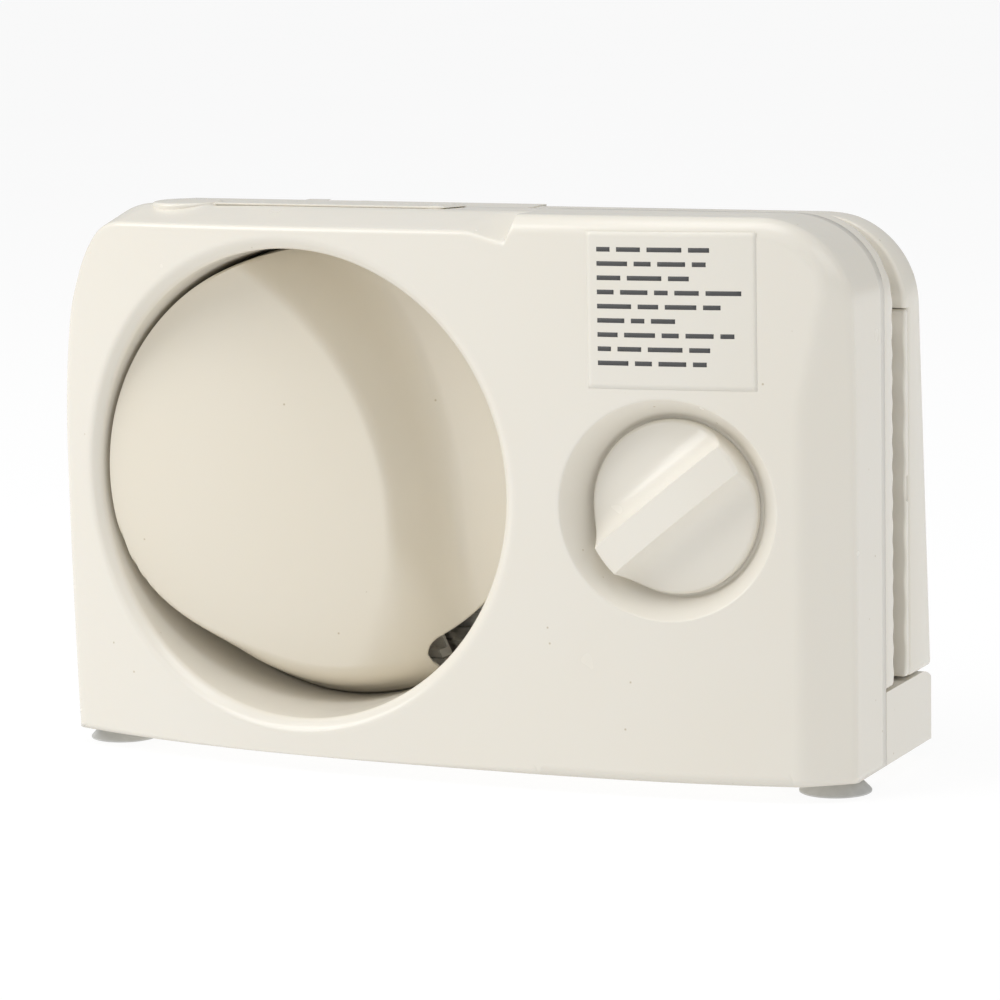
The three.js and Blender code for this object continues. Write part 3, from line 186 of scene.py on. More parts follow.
def outline(low, top):
    """Front view from the lower left, over the top, to the lower right, as points (x, z) and outward
    normals: a leaning wall, a quadratic corner, a level top, a quarter circle and an upright wall."""
    wall_z = np.linspace(low, top - SHOULDER, WALL_POINTS)
    wall = np.stack([LEFT + lean(wall_z), wall_z], 1)
    t = np.linspace(0, 1, CORNER_POINTS + 1)[1:, None]
    control = np.array([wall[-1, 0] + 4.0, top])
    end = np.array([LEFT + LEFT_CORNER, top])
    corner = (1 - t) ** 2 * wall[-1] + 2 * t * (1 - t) * control + t * t * end
    crest_x = np.concatenate([
        np.linspace(end[0], 12.0, 75)[1:], np.linspace(12.0, SPLIT_X, 61)[1:],
        np.linspace(SPLIT_X, RIGHT - RIGHT_CORNER, 38)[1:],
    ])
    crest = np.stack([crest_x, np.full_like(crest_x, top)], 1)
    turn = np.linspace(math.pi / 2, 0, 36)[1:]
    arc = np.stack([RIGHT - RIGHT_CORNER + RIGHT_CORNER * np.cos(turn),
                    top - RIGHT_CORNER + RIGHT_CORNER * np.sin(turn)], 1)
    end_z = np.linspace(top - RIGHT_CORNER, low, 76)[1:]
    right = np.stack([np.full_like(end_z, RIGHT), end_z], 1)
    points = np.concatenate([wall, corner, crest, arc, right])
    along = np.gradient(points, axis=0)
    along /= np.linalg.norm(along, axis=1, keepdims=True)
    along = (along + np.roll(along, 1, 0) + np.roll(along, -1, 0)) / 3
    along[0] = along[1]
    along[-1] = along[-2]
    normal = np.stack([-along[:, 1], along[:, 0]], 1)
    normal[points[:, 1] < top - SHOULDER - 20] = [-1.0, 0.0]
    normal[(points[:, 0] > RIGHT - 0.01) & (points[:, 1] < top - RIGHT_CORNER - 1)] = [1.0, 0.0]
    return points, normal / np.linalg.norm(normal, axis=1, keepdims=True)


def rounded_edge(width, depth, front_ease, side_ease, inset):
    """Edge sections, one for each column, as inset s and depth e: level from the inset to a first corner
    at (width, 0), straight to a second at (0, depth), both corners quadratic curves."""
    first = np.stack([width, np.zeros_like(width)], -1)
    second = np.stack([np.zeros_like(depth), depth], -1)
    way = second - first
    way /= np.linalg.norm(way, axis=-1, keepdims=True)
    start = first + np.stack([front_ease, np.zeros_like(front_ease)], -1)
    leave = first + way * front_ease[:, None]
    reach = second - way * side_ease[:, None]
    finish = second + np.stack([np.zeros_like(side_ease), side_ease], -1)

    def curve(a, b, c, count):
        t = np.linspace(0, 1, count)[None, :, None]
        return (1 - t) ** 2 * a[:, None] + 2 * t * (1 - t) * b[:, None] + t * t * c[:, None]

    def line(a, b, count):
        t = np.linspace(0, 1, count + 2)[None, 1:-1, None]
        return a[:, None] * (1 - t) + b[:, None] * t

    origin = np.stack([inset, np.zeros_like(inset)], -1)
    return np.concatenate([
        origin[:, None], line(origin, start, 2), curve(start, first, leave, 8),
        line(leave, reach, 4), curve(reach, second, finish, 8),
    ], 1)


# ---- meshes

FINISHES = {}                          # by slot


def add_piece(name, grids, body, nodes, slot, wall=0.0, loops=(), outward=None, finish=None):
    """A piece from point grids in millimetres. A grid in loops closes on itself along its second
    direction. Doubles are merged, faces turned outwards, and an open surface gets a wall."""
    places, faces, start = [], [], 0
    for number, grid in enumerate(grids):
        rows, columns = grid.shape[:2]
        places.append(grid.reshape(-1, 3))
        index = start + np.arange(rows * columns).reshape(rows, columns)
        if number in loops:
            index = np.concatenate([index, index[:, :1]], 1)
        quads = np.stack([index[:-1, :-1], index[1:, :-1], index[1:, 1:], index[:-1, 1:]], -1)
        faces.append(quads.reshape(-1, 4))
        start += rows * columns
    mesh = bpy.data.meshes.new(name)
    mesh.from_pydata((np.concatenate(places) * MM).tolist(), [], np.concatenate(faces).tolist())
    work = bmesh.new()
    work.from_mesh(mesh)
    bmesh.ops.remove_doubles(work, verts=work.verts, dist=0.02 * MM)
    bmesh.ops.dissolve_degenerate(work, edges=work.edges, dist=0.001 * MM)
    bmesh.ops.recalc_face_normals(work, faces=work.faces)
    if outward is not None:
        way = Vector(outward)
        foremost = max(work.faces, key=lambda face: face.calc_center_median().dot(way))
        if foremost.normal.dot(way) < 0:
            bmesh.ops.reverse_faces(work, faces=work.faces)
    work.to_mesh(mesh)
    work.free()
    mesh.polygons.foreach_set("use_smooth", np.ones(len(mesh.polygons), bool))
    mesh.set_sharp_from_angle(angle=math.radians(38))
    piece = bpy.data.objects.new(name, mesh)
    bpy.context.scene.collection.objects.link(piece)
    mesh.materials.append(finish or FINISHES[slot])
    if wall:
        thick = piece.modifiers.new("Wall", "SOLIDIFY")
        thick.thickness = wall * MM
        thick.offset = -1.0
    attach(piece, body)
    if nodes:
        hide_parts(*nodes)
    return piece


def capped(rows):
    """A loft's rows with both ends drawn in to a point."""
    first = np.repeat(rows[:1].mean(1, keepdims=True), rows.shape[1], 1)
    last = np.repeat(rows[-1:].mean(1, keepdims=True), rows.shape[1], 1)
    return np.concatenate([first, rows, last])


def box_loops(x0, x1, y0, y1, z, radius, along=16, arc=5):
    """Rounded rectangles in X and Y, one for each height z."""
    x0, x1, y0, y1, z, radius = np.broadcast_arrays(x0, x1, y0, y1, z, radius)
    points = []
    sides = [
        (x1, y0, -90, 0), (x1, y1, 0, 90), (x0, y1, 90, 180), (x0, y0, 180, 270),
    ]
    for x, y, from_angle, to_angle in sides:
        cx = x + np.where(x == x1, -radius, radius)
        cy = y + np.where(y == y1, -radius, radius)
        angle = np.radians(np.linspace(from_angle, to_angle, arc))[None]
        points.append(np.stack([
            cx[:, None] + radius[:, None] * np.cos(angle), cy[:, None] + radius[:, None] * np.sin(angle),
            np.broadcast_to(z[:, None], (len(z), arc)),
        ], -1))
    loop = []
    for here, after, count in zip(points, points[1:] + points[:1], (1, along, 1, along)):
        t = np.linspace(0, 1, count + 2)[None, 1:-1, None]
        loop.append(here)
        loop.append(here[:, -1:] * (1 - t) + after[:, :1] * t)
    return np.concatenate(loop, 1)


def turned(profile, centre, axis, sides=96):
    """A profile of (radius, place along the axis) carried round an axis through the centre."""
    angle = np.linspace(0, 2 * math.pi, sides, endpoint=False)[None]
    radius = np.array([p[0] for p in profile], float)[:, None]
    place = np.broadcast_to(np.array([p[1] for p in profile], float)[:, None], (len(profile), sides))
    u, v = radius * np.cos(angle), radius * np.sin(angle)
    order = {"Y": (u, place, v), "Z": (u, v, place), "X": (place, u, v)}[axis]
    return np.stack(order, -1) + np.array(centre, float)


def helix(centre, axis, start, end, radius, wire, turns, steps=28, sides=8):
    """A round wire carried along a helix whose ends close up to ground flat turns."""
    count = int(turns * steps) + 1
    t = np.linspace(0, 1, count)
    rise = mix(start + wire, end - wire, (smooth(t) + 2 * t) / 3)
    angle = 2 * math.pi * turns * t
    path = np.stack([radius * np.cos(angle), radius * np.sin(angle), rise], 1)
    along = np.gradient(path, axis=0)
    along /= np.linalg.norm(along, axis=1, keepdims=True)
    out = np.stack([np.cos(angle), np.sin(angle), np.zeros(count)], 1)
    out -= along * np.sum(out * along, 1, keepdims=True)
    out /= np.linalg.norm(out, axis=1, keepdims=True)
    side = np.cross(along, out)
    ring = np.linspace(0, 2 * math.pi, sides, endpoint=False)
    rows = path[:, None] + wire * (out[:, None] * np.cos(ring)[None, :, None]
                                   + side[:, None] * np.sin(ring)[None, :, None])
    if axis == "Y":
        rows = rows[..., [0, 2, 1]]
    return capped(rows + np.array(centre, float))


# ---- finishes


def set_inputs(tree, node, inputs):
    """Links each input of a node to a socket, or sets it to a value."""
    for name, value in inputs.items():
        socket = node.inputs[name]
        if isinstance(value, bpy.types.NodeSocket):
            tree.links.new(value, socket)
        elif socket.type == "RGBA":
            socket.default_value = (*value, 1.0)
        else:
            socket.default_value = value


def add_node(tree, kind, inputs, **settings):
    node = tree.nodes.new("ShaderNode" + kind)
    for name, value in settings.items():
        setattr(node, name, value)
    set_inputs(tree, node, inputs)
    return node


def new_finish(name, colour, roughness, metallic=0.0):
    material = bpy.data.materials.new(name)
    material.use_nodes = True
    tree = material.node_tree
    shader = tree.nodes["Principled BSDF"]
    set_inputs(tree, shader, {"Base Color": colour, "Roughness": roughness, "Metallic": metallic})
    return material, tree, shader


def shade(colour, *factors):
    """The colour times one factor, or times one for each channel."""
    return tuple(min(1.0, c * f) for c, f in zip(colour, factors * (3 // len(factors))))


def noise(tree, scale, detail=2.0, stretch=(1, 1, 1)):
    """Noise on Object coordinates, its scale in cells for each metre."""
    place = add_node(tree, "TexCoord", {}).outputs["Object"]
    place = add_node(tree, "Mapping", {"Scale": stretch, "Vector": place}).outputs["Vector"]
    return add_node(tree, "TexNoise", {"Scale": scale, "Detail": detail, "Vector": place}).outputs["Fac"]


def ranged(tree, value, low, high, start=0.3, end=0.7):
    return add_node(tree, "MapRange", {
        "From Min": start, "From Max": end, "To Min": low, "To Max": high, "Value": value,
    }).outputs["Result"]


def blended(tree, factor, first, second):
    return add_node(tree, "Mix", {6: first, 7: second, 0: factor}, data_type="RGBA").outputs[2]


def bumped(tree, height, distance, strength=1.0):
    return add_node(tree, "Bump", {
        "Strength": strength, "Distance": distance, "Height": height,
    }).outputs["Normal"]


def speckle(tree, spacing, size, share):
    """1 inside round specks: a cell texture's distance under the size, kept in a share of its cells."""
    place = add_node(tree, "TexCoord", {}).outputs["Object"]
    cells = add_node(tree, "TexVoronoi", {"Scale": 1.0 / (spacing * MM), "Vector": place}).outputs
    inside = ranged(tree, cells["Distance"], 1.0, 0.0, 0.4 * size / spacing, size / spacing)
    red = add_node(tree, "SeparateColor", {"Color": cells["Color"]}).outputs["Red"]
    kept = ranged(tree, red, 1.0, 0.0, share - 0.02, share)
    return add_node(tree, "Math", {0: inside, 1: kept}, operation="MULTIPLY").outputs[0]


def moulded_plastic(name, colour, roughness, speck_share=0.35):
    """Glossy moulded plastic: faint colour drift, fine specks, uneven gloss and a slight orange peel."""
    material, tree, shader = new_finish(name, colour, roughness)
    drift = blended(tree, noise(tree, 14.0), colour, shade(colour, 0.99, 0.975, 0.94))
    dust = shade(colour, 0.72, 0.66, 0.55)
    set_inputs(tree, shader, {
        "Base Color": blended(tree, speckle(tree, 9.0, 0.5, speck_share), drift, dust),
        "Roughness": ranged(tree, noise(tree, 60.0), roughness - 0.04, roughness + 0.05, 0.1, 0.9),
        "Normal": bumped(tree, noise(tree, 420.0, 1.0), 0.00002, 0.5),
        "Specular IOR Level": 0.5, "Subsurface Weight": 0.06, "Subsurface Radius": (0.004, 0.003, 0.002),
    })
    return material


def soft_rubber(name, colour):
    """Soft plastic: matt, with fine mottling and dust in its pores."""
    material, tree, shader = new_finish(name, colour, 0.45)
    mottling = ranged(tree, noise(tree, 240.0, 4.0), 0.0, 1.0)
    set_inputs(tree, shader, {
        "Base Color": blended(tree, mottling, colour, shade(colour, 1.12)),
        "Roughness": ranged(tree, noise(tree, 120.0, 3.0), 0.36, 0.56),
        "Normal": bumped(tree, noise(tree, 900.0, 3.0), 0.00006, 0.6),
    })
    return material


def brushed_metal(name, colour, roughness, stretch):
    """Ground or plated metal: noise drawn out along the grinding, in colour, gloss and height."""
    material, tree, shader = new_finish(name, colour, roughness, 1.0)
    lines = noise(tree, 900.0, 4.0, stretch)
    set_inputs(tree, shader, {
        "Base Color": blended(tree, ranged(tree, lines, 0.0, 1.0), shade(colour, 0.72), colour),
        "Roughness": ranged(tree, lines, roughness - 0.08, roughness + 0.12),
        "Normal": bumped(tree, lines, 0.00002, 0.6),
    })
    return material


def machine_plastic(name, colour, roughness):
    """Matt technical plastic: slight mottling and moulding grain."""
    material, tree, shader = new_finish(name, colour, roughness)
    mottling = ranged(tree, noise(tree, 90.0, 3.0), 0.0, 1.0)
    set_inputs(tree, shader, {
        "Base Color": blended(tree, mottling, colour, shade(colour, 0.86)),
        "Normal": bumped(tree, noise(tree, 1500.0), 0.00003, 0.5),
    })
    return material


def wound_copper(name, colour):
    """Enamelled windings: fine bands across the core."""
    material, tree, shader = new_finish(name, colour, 0.35, 1.0)
    bands = noise(tree, 300.0, 2.0, (6.0, 0.6, 6.0))
    set_inputs(tree, shader, {
        "Base Color": blended(tree, ranged(tree, bands, 0.0, 1.0), shade(colour, 0.45), colour),
        "Normal": bumped(tree, bands, 0.0002, 0.8),
    })
    return material


# ---- sizes and colours


def length(name, description, default, low, high):
    return FloatProperty(name=name, description=description + " in mm", default=default, min=low, max=high)


def colour(name, description, default):
    return FloatVectorProperty(name=name, description=description, default=default, subtype="COLOR",
                               size=3, min=0, max=1)


class SlicerSizes(bpy.types.PropertyGroup):
    shell_wall: length("Shell wall", "Thickness of the housing's wall", 2.2, 1.0, 2.6)
    left_radius: length("Left edge radius", "Round edge of the left end", 4.0, 2.0, 12.0)
    crease_drop: length("Crease drop", "Front crease below the top", 5.8, 2.0, 7.0)
    crease_run: length("Slope depth", "How far back the sloping band runs", 24.0, 8.0, 30.0)
    notch_drop: length("Notch drop", "Extra drop of the crease at the notch", 3.2, 0.0, 5.0)
    rim_width: length("Bowl rim", "Width of the bowl's rounded rim", 3.4, 1.0, 4.5)
    dish_margin: length("Dish margin", "Dish rim outside the knob", 7.5, 4.0, 9.0)
    grip_width: length("Grip width", "Width of the knob's grip bar", 10.6, 6.0, 14.0)
    gauge_ribs: length("Gauge rib pitch", "Pitch of the gauge plate's ribs", 8.2, 4.0, 16.0)
    tray_ribs: length("Tray rib pitch", "Pitch of the carriage's ribs", 16.4, 8.0, 24.0)
    spring_turns: IntProperty(name="Spring turns", description="Turns of each gauge spring",
                              default=5, min=3, max=6)


class SlicerColours(bpy.types.PropertyGroup):
    cream: colour("Housing", "Colour of the glossy housing", (0.83, 0.795, 0.72))
    bowl: colour("Bowl", "Colour of the slice bowl", (0.82, 0.765, 0.655))
    rubber: colour("Feet", "Colour of the suction feet", (0.55, 0.55, 0.53))
    steel: colour("Blade", "Colour of the blade steel", (0.62, 0.61, 0.58))
    ink: colour("Print", "Colour of the plain printed bars", (0.07, 0.07, 0.07))


# ---- housing surfaces


def edge_columns(sizes):
    """The front shell's edge and side walls: a column for each point of the outline, from the front
    face over the rounded, sloping or chamfered edge to the parting line. Returns points (m, n, 3)."""
    points, normal = outline(BOTTOM, TOP)
    x, z = points[:, 0], points[:, 1]
    number = np.arange(len(points))
    crest = WALL_POINTS + CORNER_POINTS
    on_left = number < crest
    on_right = (number > crest) & (x > SPLIT_X)
    arc_place = np.where(z < TOP - RIGHT_CORNER, TOP - RIGHT_CORNER - z,
                         -RIGHT_CORNER * np.arctan2(z - (TOP - RIGHT_CORNER), x - (RIGHT - RIGHT_CORNER)))
    chamfer = np.where(on_right, soft_ramp((arc_place + 15.5) / 47.5, 0.06), 0.0)
    crease = sizes.crease_drop + sizes.notch_drop * smooth((x - 17.0) / 15.0)
    past_notch = np.where(on_left, 0.0, smooth((x - NOTCH[0]) / NOTCH[1]))
    past_notch = np.where(on_right, 1.0, past_notch)
    width = mix(mix(crease, FILLET, past_notch), CHAMFER_WIDTH, chamfer)
    depth = mix(mix(np.full_like(x, sizes.crease_run), FILLET, past_notch), CHAMFER_DEPTH, chamfer)
    front_ease, side_ease = (mix(mix(band, FILLET_EASE, past_notch), corner, chamfer)
                             for band, corner in zip(BAND_EASES, CHAMFER_EASES))
    around_notch = np.where(on_left, 0.0, smooth((x + 12.0) / 24.0) * (1 - smooth((x - 44.0) / 18.0)))
    inset = np.maximum(width + front_ease + 0.2, 12.5 * around_notch)
    section = rounded_edge(width, depth, front_ease, side_ease, inset)
    count = section.shape[1]
    angle = np.linspace(math.radians(30), math.radians(90), count)[None]
    radius = sizes.left_radius
    arc = np.stack(np.broadcast_arrays(radius * (1 - np.sin(angle)), radius * (1 - np.cos(angle))), -1)
    weight = np.where(on_left, left_weight(z), 0.0)[:, None, None]
    section = mix(section, arc, weight)
    s, e = section[..., 0], section[..., 1]
    px = x[:, None] - s * normal[:, :1]
    pz = z[:, None] - s * normal[:, 1:]
    y = bow(px) + e
    y[:, 0] = face_depth(px[:, 0], pz[:, 0], radius)
    t = np.linspace(0, 1, 7)[None, 1:]
    y = np.concatenate([y, y[:, -1:] * (1 - t) + PARTING * t], 1)
    px = np.concatenate([px, np.repeat(px[:, -1:], 6, 1)], 1)
    pz = np.concatenate([pz, np.repeat(pz[:, -1:], 6, 1)], 1)
    pz -= TOP_SLOPE * (y - FRONT) * np.clip(normal[:, 1:], 0, 1)
    pz[0], pz[-1] = BOTTOM, BOTTOM
    return np.stack([px, y, pz], -1)


def rays(centre, ring_radii, depths, border, radius, steps=16):
    """A polar patch: rings whose depths are functions of the face's depth, from the innermost out, then
    rings on the face in even steps to the border."""
    way = border[:, [0, 2]] - centre
    reach = np.linalg.norm(way, axis=1, keepdims=True)
    way /= reach
    outer = ring_radii[-1]
    reaches = list(ring_radii)
    reaches += [outer + (reach - outer) * step for step in np.linspace(0, 1, steps + 1)[1:-1]]
    rings = []
    for ring_reach, depth in zip(reaches, [*depths, *[lambda y: y] * (steps - 1)]):
        place = centre + way * ring_reach
        y = depth(face_depth(place[:, 0], place[:, 1], radius))
        rings.append(np.stack([place[:, 0], y, place[:, 1]], 1))
    return np.stack([*rings, border])


def shell_grids(sizes):
    """The front shell: edge columns, the half round the bowl and the half round the knob's dish, which
    share the points along the split."""
    radius = sizes.left_radius
    columns = edge_columns(sizes)
    points, _ = outline(BOTTOM, TOP)
    seam = int(np.argmin(np.abs(points[:, 0] - SPLIT_X) + (points[:, 1] < TOP - 0.01) * 1000.0))
    inner = columns[:, 0]

    def level(x0, x1, count):
        x = np.linspace(x0, x1, count)
        return np.stack([x, face_depth(x, np.full_like(x, BOTTOM), radius), np.full_like(x, BOTTOM)], 1)

    split_z = np.linspace(inner[seam, 2], BOTTOM, 100)
    split_x = np.full_like(split_z, SPLIT_X)
    split = np.stack([split_x, face_depth(split_x, split_z, radius), split_z], 1)
    split[0] = inner[seam]
    left_border = np.concatenate([
        inner[:seam + 1], split[1:], level(SPLIT_X, inner[0, 0], 100)[1:],
    ])
    right_border = np.concatenate([
        inner[seam:], level(inner[-1, 0], SPLIT_X, 60)[1:-1], split[::-1][:-1], inner[seam:seam + 1],
    ])
    rim = sizes.rim_width
    edge = rounded_edge(*(np.array([v]) for v in (rim, 3.6, 1.8, 1.8, rim + 1.9)))[0]
    radii = WELL_RADIUS + edge[::-1, 0]
    drops = edge[::-1, 1]
    depths = [(lambda y, s=s: mix(y + drops[0], WELL_END, s)) for s in np.linspace(1, 0, 9)[:-1]]
    depths += [(lambda y, d=d: y + d) for d in drops]
    bowl_half = rays(np.array([WELL_X, WELL_Z]), [WELL_RADIUS] * 8 + list(radii), depths, left_border, radius)
    dish_rim = KNOB_RADIUS + sizes.dish_margin
    dish_foot = KNOB_RADIUS + 1.0
    dish_radii = np.concatenate([
        [4.6, 12.0, 20.0, 26.0], np.linspace(dish_foot - 1.6, dish_foot + 1.6, 11),
        np.linspace(dish_foot + 2.2, dish_rim - 1.6, 6), np.linspace(dish_rim - 1.2, dish_rim + 1.8, 14),
    ])
    shares = soft_ramp((dish_rim - dish_radii) / (dish_rim - dish_foot), 0.035)
    shares -= shares[-1]
    depths = [(lambda y, s=s: mix(y, DISH_FLOOR, s)) for s in shares]
    knob_half = rays(np.array([KNOB_X, KNOB_Z]), dish_radii, depths, right_border, radius)
    return [columns, bowl_half, knob_half]


COVER_ARC = 104.0                      # motor cover's right edge, a wide arc
COVER_ARC_X = -79.5                    # its centre, from the bowl's
COVER_ARC_Z = -18.0
COVER_FLOOR = FLOOR - 3.4              # ahead of the gear plate
COVER_GROOVE = -17.0                   # floor on the left
COVER_FACE = -29.5                     # most forward place of the face, which curves away from it
COVER_FACE_X = -118.0
COVER_REACH = 79.0                     # where the face falls to the bowl's wall
SLOT_LOW = math.radians(-63.5)
SLOT_HIGH = math.radians(40.0)
SLOT_INNER = 67.0
SLOT_CORNER = 7.0


def bowl_depth(x, z):
    """Motor cover: a face that is a parabola in X, cut by a steep cone near the bowl's wall and by a
    cone round a far centre on the right, with small fillets, and a wider one to the floor, which is
    level on the right and rises to a shallow groove on the left."""
    face = COVER_FACE + 0.00125 * (x - COVER_FACE_X) ** 2 + 0.0006 * (z - WELL_Z) ** 2
    across, up = x - WELL_X, z - WELL_Z
    reach = np.hypot(across, up)
    low = smooth((-up - 14.0) / 50.0)
    ground = mix(COVER_FLOOR, COVER_GROOVE, smooth(-across / 62.0) * (1 - low))
    wall = ground - (COVER_REACH - reach) * mix(14.0, 3.0, low)
    arc = np.hypot(across - COVER_ARC_X, up - COVER_ARC_Z)
    side = face + (arc - COVER_ARC - 10.0 * low) * mix(1.35, 1.0, low)
    cover = smooth_max(smooth_max(face, side, mix(2.6, 14.0, low)), wall, mix(5.0, 16.0, low))
    return smooth_min(cover, ground, mix(9.0, 4.0, smooth(-across / 50.0)))


def bowl_grids():
    """The slice bowl on polar rings, with a slot along its right whose ends have round corners."""
    slot_turn = np.linspace(SLOT_LOW, SLOT_HIGH, 161)
    rest_turn = np.linspace(SLOT_HIGH, SLOT_LOW + 2 * math.pi, 241)

    def slot_edge(turn):
        from_end = np.minimum(turn - SLOT_LOW, SLOT_HIGH - turn) * SLOT_INNER
        arc = np.clip(SLOT_CORNER - from_end, 0, SLOT_CORNER)
        return SLOT_INNER + SLOT_CORNER - np.sqrt(SLOT_CORNER ** 2 - arc ** 2)

    def rings(turn, low, high, count):
        share = np.linspace(0, 1, count)[:, None]
        reach = low * (1 - share) + high * share
        x = WELL_X + reach * np.cos(turn)
        z = WELL_Z + reach * np.sin(turn)
        return np.stack([x, bowl_depth(x, z), z], -1)

    slot_reach = slot_edge(slot_turn)
    away = np.minimum(rest_turn - SLOT_HIGH, SLOT_LOW + 2 * math.pi - rest_turn)
    rest_reach = SLOT_INNER + SLOT_CORNER * (1 - smooth(away / 0.4))
    return [
        rings(slot_turn, 0.0 * slot_reach, slot_reach, 90),
        rings(rest_turn, 0.0 * rest_reach, rest_reach, 90),
        rings(rest_turn, rest_reach, BOWL_RADIUS + 0 * rest_reach, 16),
    ]


def upright_span(z, low, top):
    """Left and right ends of the outline at height z."""
    shoulder = top - SHOULDER
    start = LEFT + lean(shoulder)
    t = 1 - np.sqrt(np.clip((top - z) / SHOULDER, 0, 1))
    corner = (1 - t) ** 2 * start + 2 * t * (1 - t) * (start + 4.0) + t * t * (LEFT + LEFT_CORNER)
    left = np.where(z > shoulder, corner, LEFT + lean(z))
    rise = np.clip(z - (top - RIGHT_CORNER), 0, RIGHT_CORNER)
    right = RIGHT - RIGHT_CORNER + np.sqrt(RIGHT_CORNER ** 2 - rise ** 2)
    return left, right


def levels(low, high, extra=()):
    """Heights from low to high, close together at the ends."""
    corner = high - RIGHT_CORNER * (1 - np.sin(np.linspace(0, math.pi / 2, 40)))
    straight = np.arange(low + 2.0, high - RIGHT_CORNER, 0.8)
    start = low + 2.0 * (1 - np.cos(np.linspace(0, math.pi / 2, 6)))
    return np.unique(np.round(np.concatenate([start, straight, corner, extra]), 4))


def end_ease(z, low, high, radius):
    """How far faces draw in near the two ends of a loft, along a quarter circle."""
    near = np.clip(radius - np.minimum(z - low, high - z), 0, radius)
    return radius - np.sqrt(radius ** 2 - near ** 2)


def gauge_grids(sizes):
    """Gauge plate: rounded sections stacked upwards, with sine ribs along the rear, and its skirt."""
    low, top = GAUGE_LOW[2], TOP - TOP_SLOPE * (PARTING - FRONT)
    z = levels(low, top)
    _, right = upright_span(z, low, top)
    blade_low, blade_high = span("blade")
    clear = (blade_high[0] - blade_low[0]) / 2 + 2.5
    up = z - (blade_low[2] + blade_high[2]) / 2
    left = WELL_X + np.maximum(70.0, np.sqrt(np.clip(clear ** 2 - up ** 2, 0, None)))
    ease = end_ease(z, low, top, 1.2)
    wave = 0.4 * (1 + np.cos(2 * math.pi * (z - low) / sizes.gauge_ribs)) * smooth((top - z) / 14.0)
    plate = box_loops(left + ease, right - ease, PARTING + 0.12, GAUGE_HIGH[1] - 0.1 - wave - ease, z, 0.3)
    points, normal = outline(low + 1.0, TOP)
    keep = points[:, 0] > WELL_X + 74.0
    path, way = points[keep], normal[keep]
    skirt = []
    for inset, y in ((2.7, 0.5), (2.7, -SKIRT_DEPTH), (4.4, -SKIRT_DEPTH), (4.4, 0.5)):
        depth = PARTING + y
        drop = TOP_SLOPE * (depth - FRONT) * np.clip(way[:, 1], 0, 1)
        skirt.append(np.stack([path[:, 0] - inset * way[:, 0], np.full(len(path), depth),
                               path[:, 1] - inset * way[:, 1] - drop], 1))
    return [capped(plate), capped(np.stack(skirt, 1))]


KNOB_TURN = math.radians(39)           # of the grip bar
KNOB_EDGE = 1.4


def knob_grids(sizes):
    """The knob: sections across the grip, each a closed loop. The front is a shallow dome with a bar
    whose flat top ends in a crisp edge and whose flanks are concave."""
    rear = KNOB_REAR
    half = sizes.grip_width / 2
    sweep = np.sin(np.linspace(-math.pi / 2, math.pi / 2, 91))
    v = np.unique(np.round(np.concatenate([
        KNOB_RADIUS * sweep, [-half, half, -half - 0.4, half + 0.4, -half + 0.4, half - 0.4],
        np.linspace(half + 0.8, half + 7, 12), -np.linspace(half + 0.8, half + 7, 12),
    ]), 3))
    v = v[np.abs(v) < KNOB_RADIUS - 0.002]
    reach = np.sqrt(KNOB_RADIUS ** 2 - v ** 2)
    share = np.sin(np.linspace(-math.pi / 2, math.pi / 2, 61))
    u = reach[:, None] * share[None]
    vv = np.broadcast_to(v[:, None], u.shape)
    radius = np.hypot(u, vv)
    dome = rear - 6.0 + 2.8 * (radius / KNOB_RADIUS) ** 2.4
    top = KNOB_LOW[1] + 0.15 + 3.4 * (np.abs(u) / KNOB_RADIUS) ** 2.2
    out = np.clip((np.abs(vv) - half) / 13.0, 0, 1)
    front = mix(dome, top, (1 - out) ** 3.2)
    front = front + end_ease(radius, -np.inf, KNOB_RADIUS, KNOB_EDGE)
    side = np.linspace(0, 1, 5)[None, 1:-1]
    right_wall = mix(front[:, -1:], rear, side)
    left_wall = mix(rear, front[:, :1], side)
    uu = np.concatenate([u, np.repeat(u[:, -1:], 3, 1), u[:, ::-4], np.repeat(u[:, :1], 3, 1)], 1)
    back = np.full_like(u[:, ::-4], rear)
    yy = np.concatenate([front, right_wall, back, left_wall], 1)
    vv = np.broadcast_to(v[:, None], uu.shape)
    cos, sin = math.cos(KNOB_TURN), math.sin(KNOB_TURN)
    x = KNOB_X + uu * cos - vv * sin
    z = KNOB_Z + uu * sin + vv * cos
    return [capped(np.stack([x, yy, z], -1))]


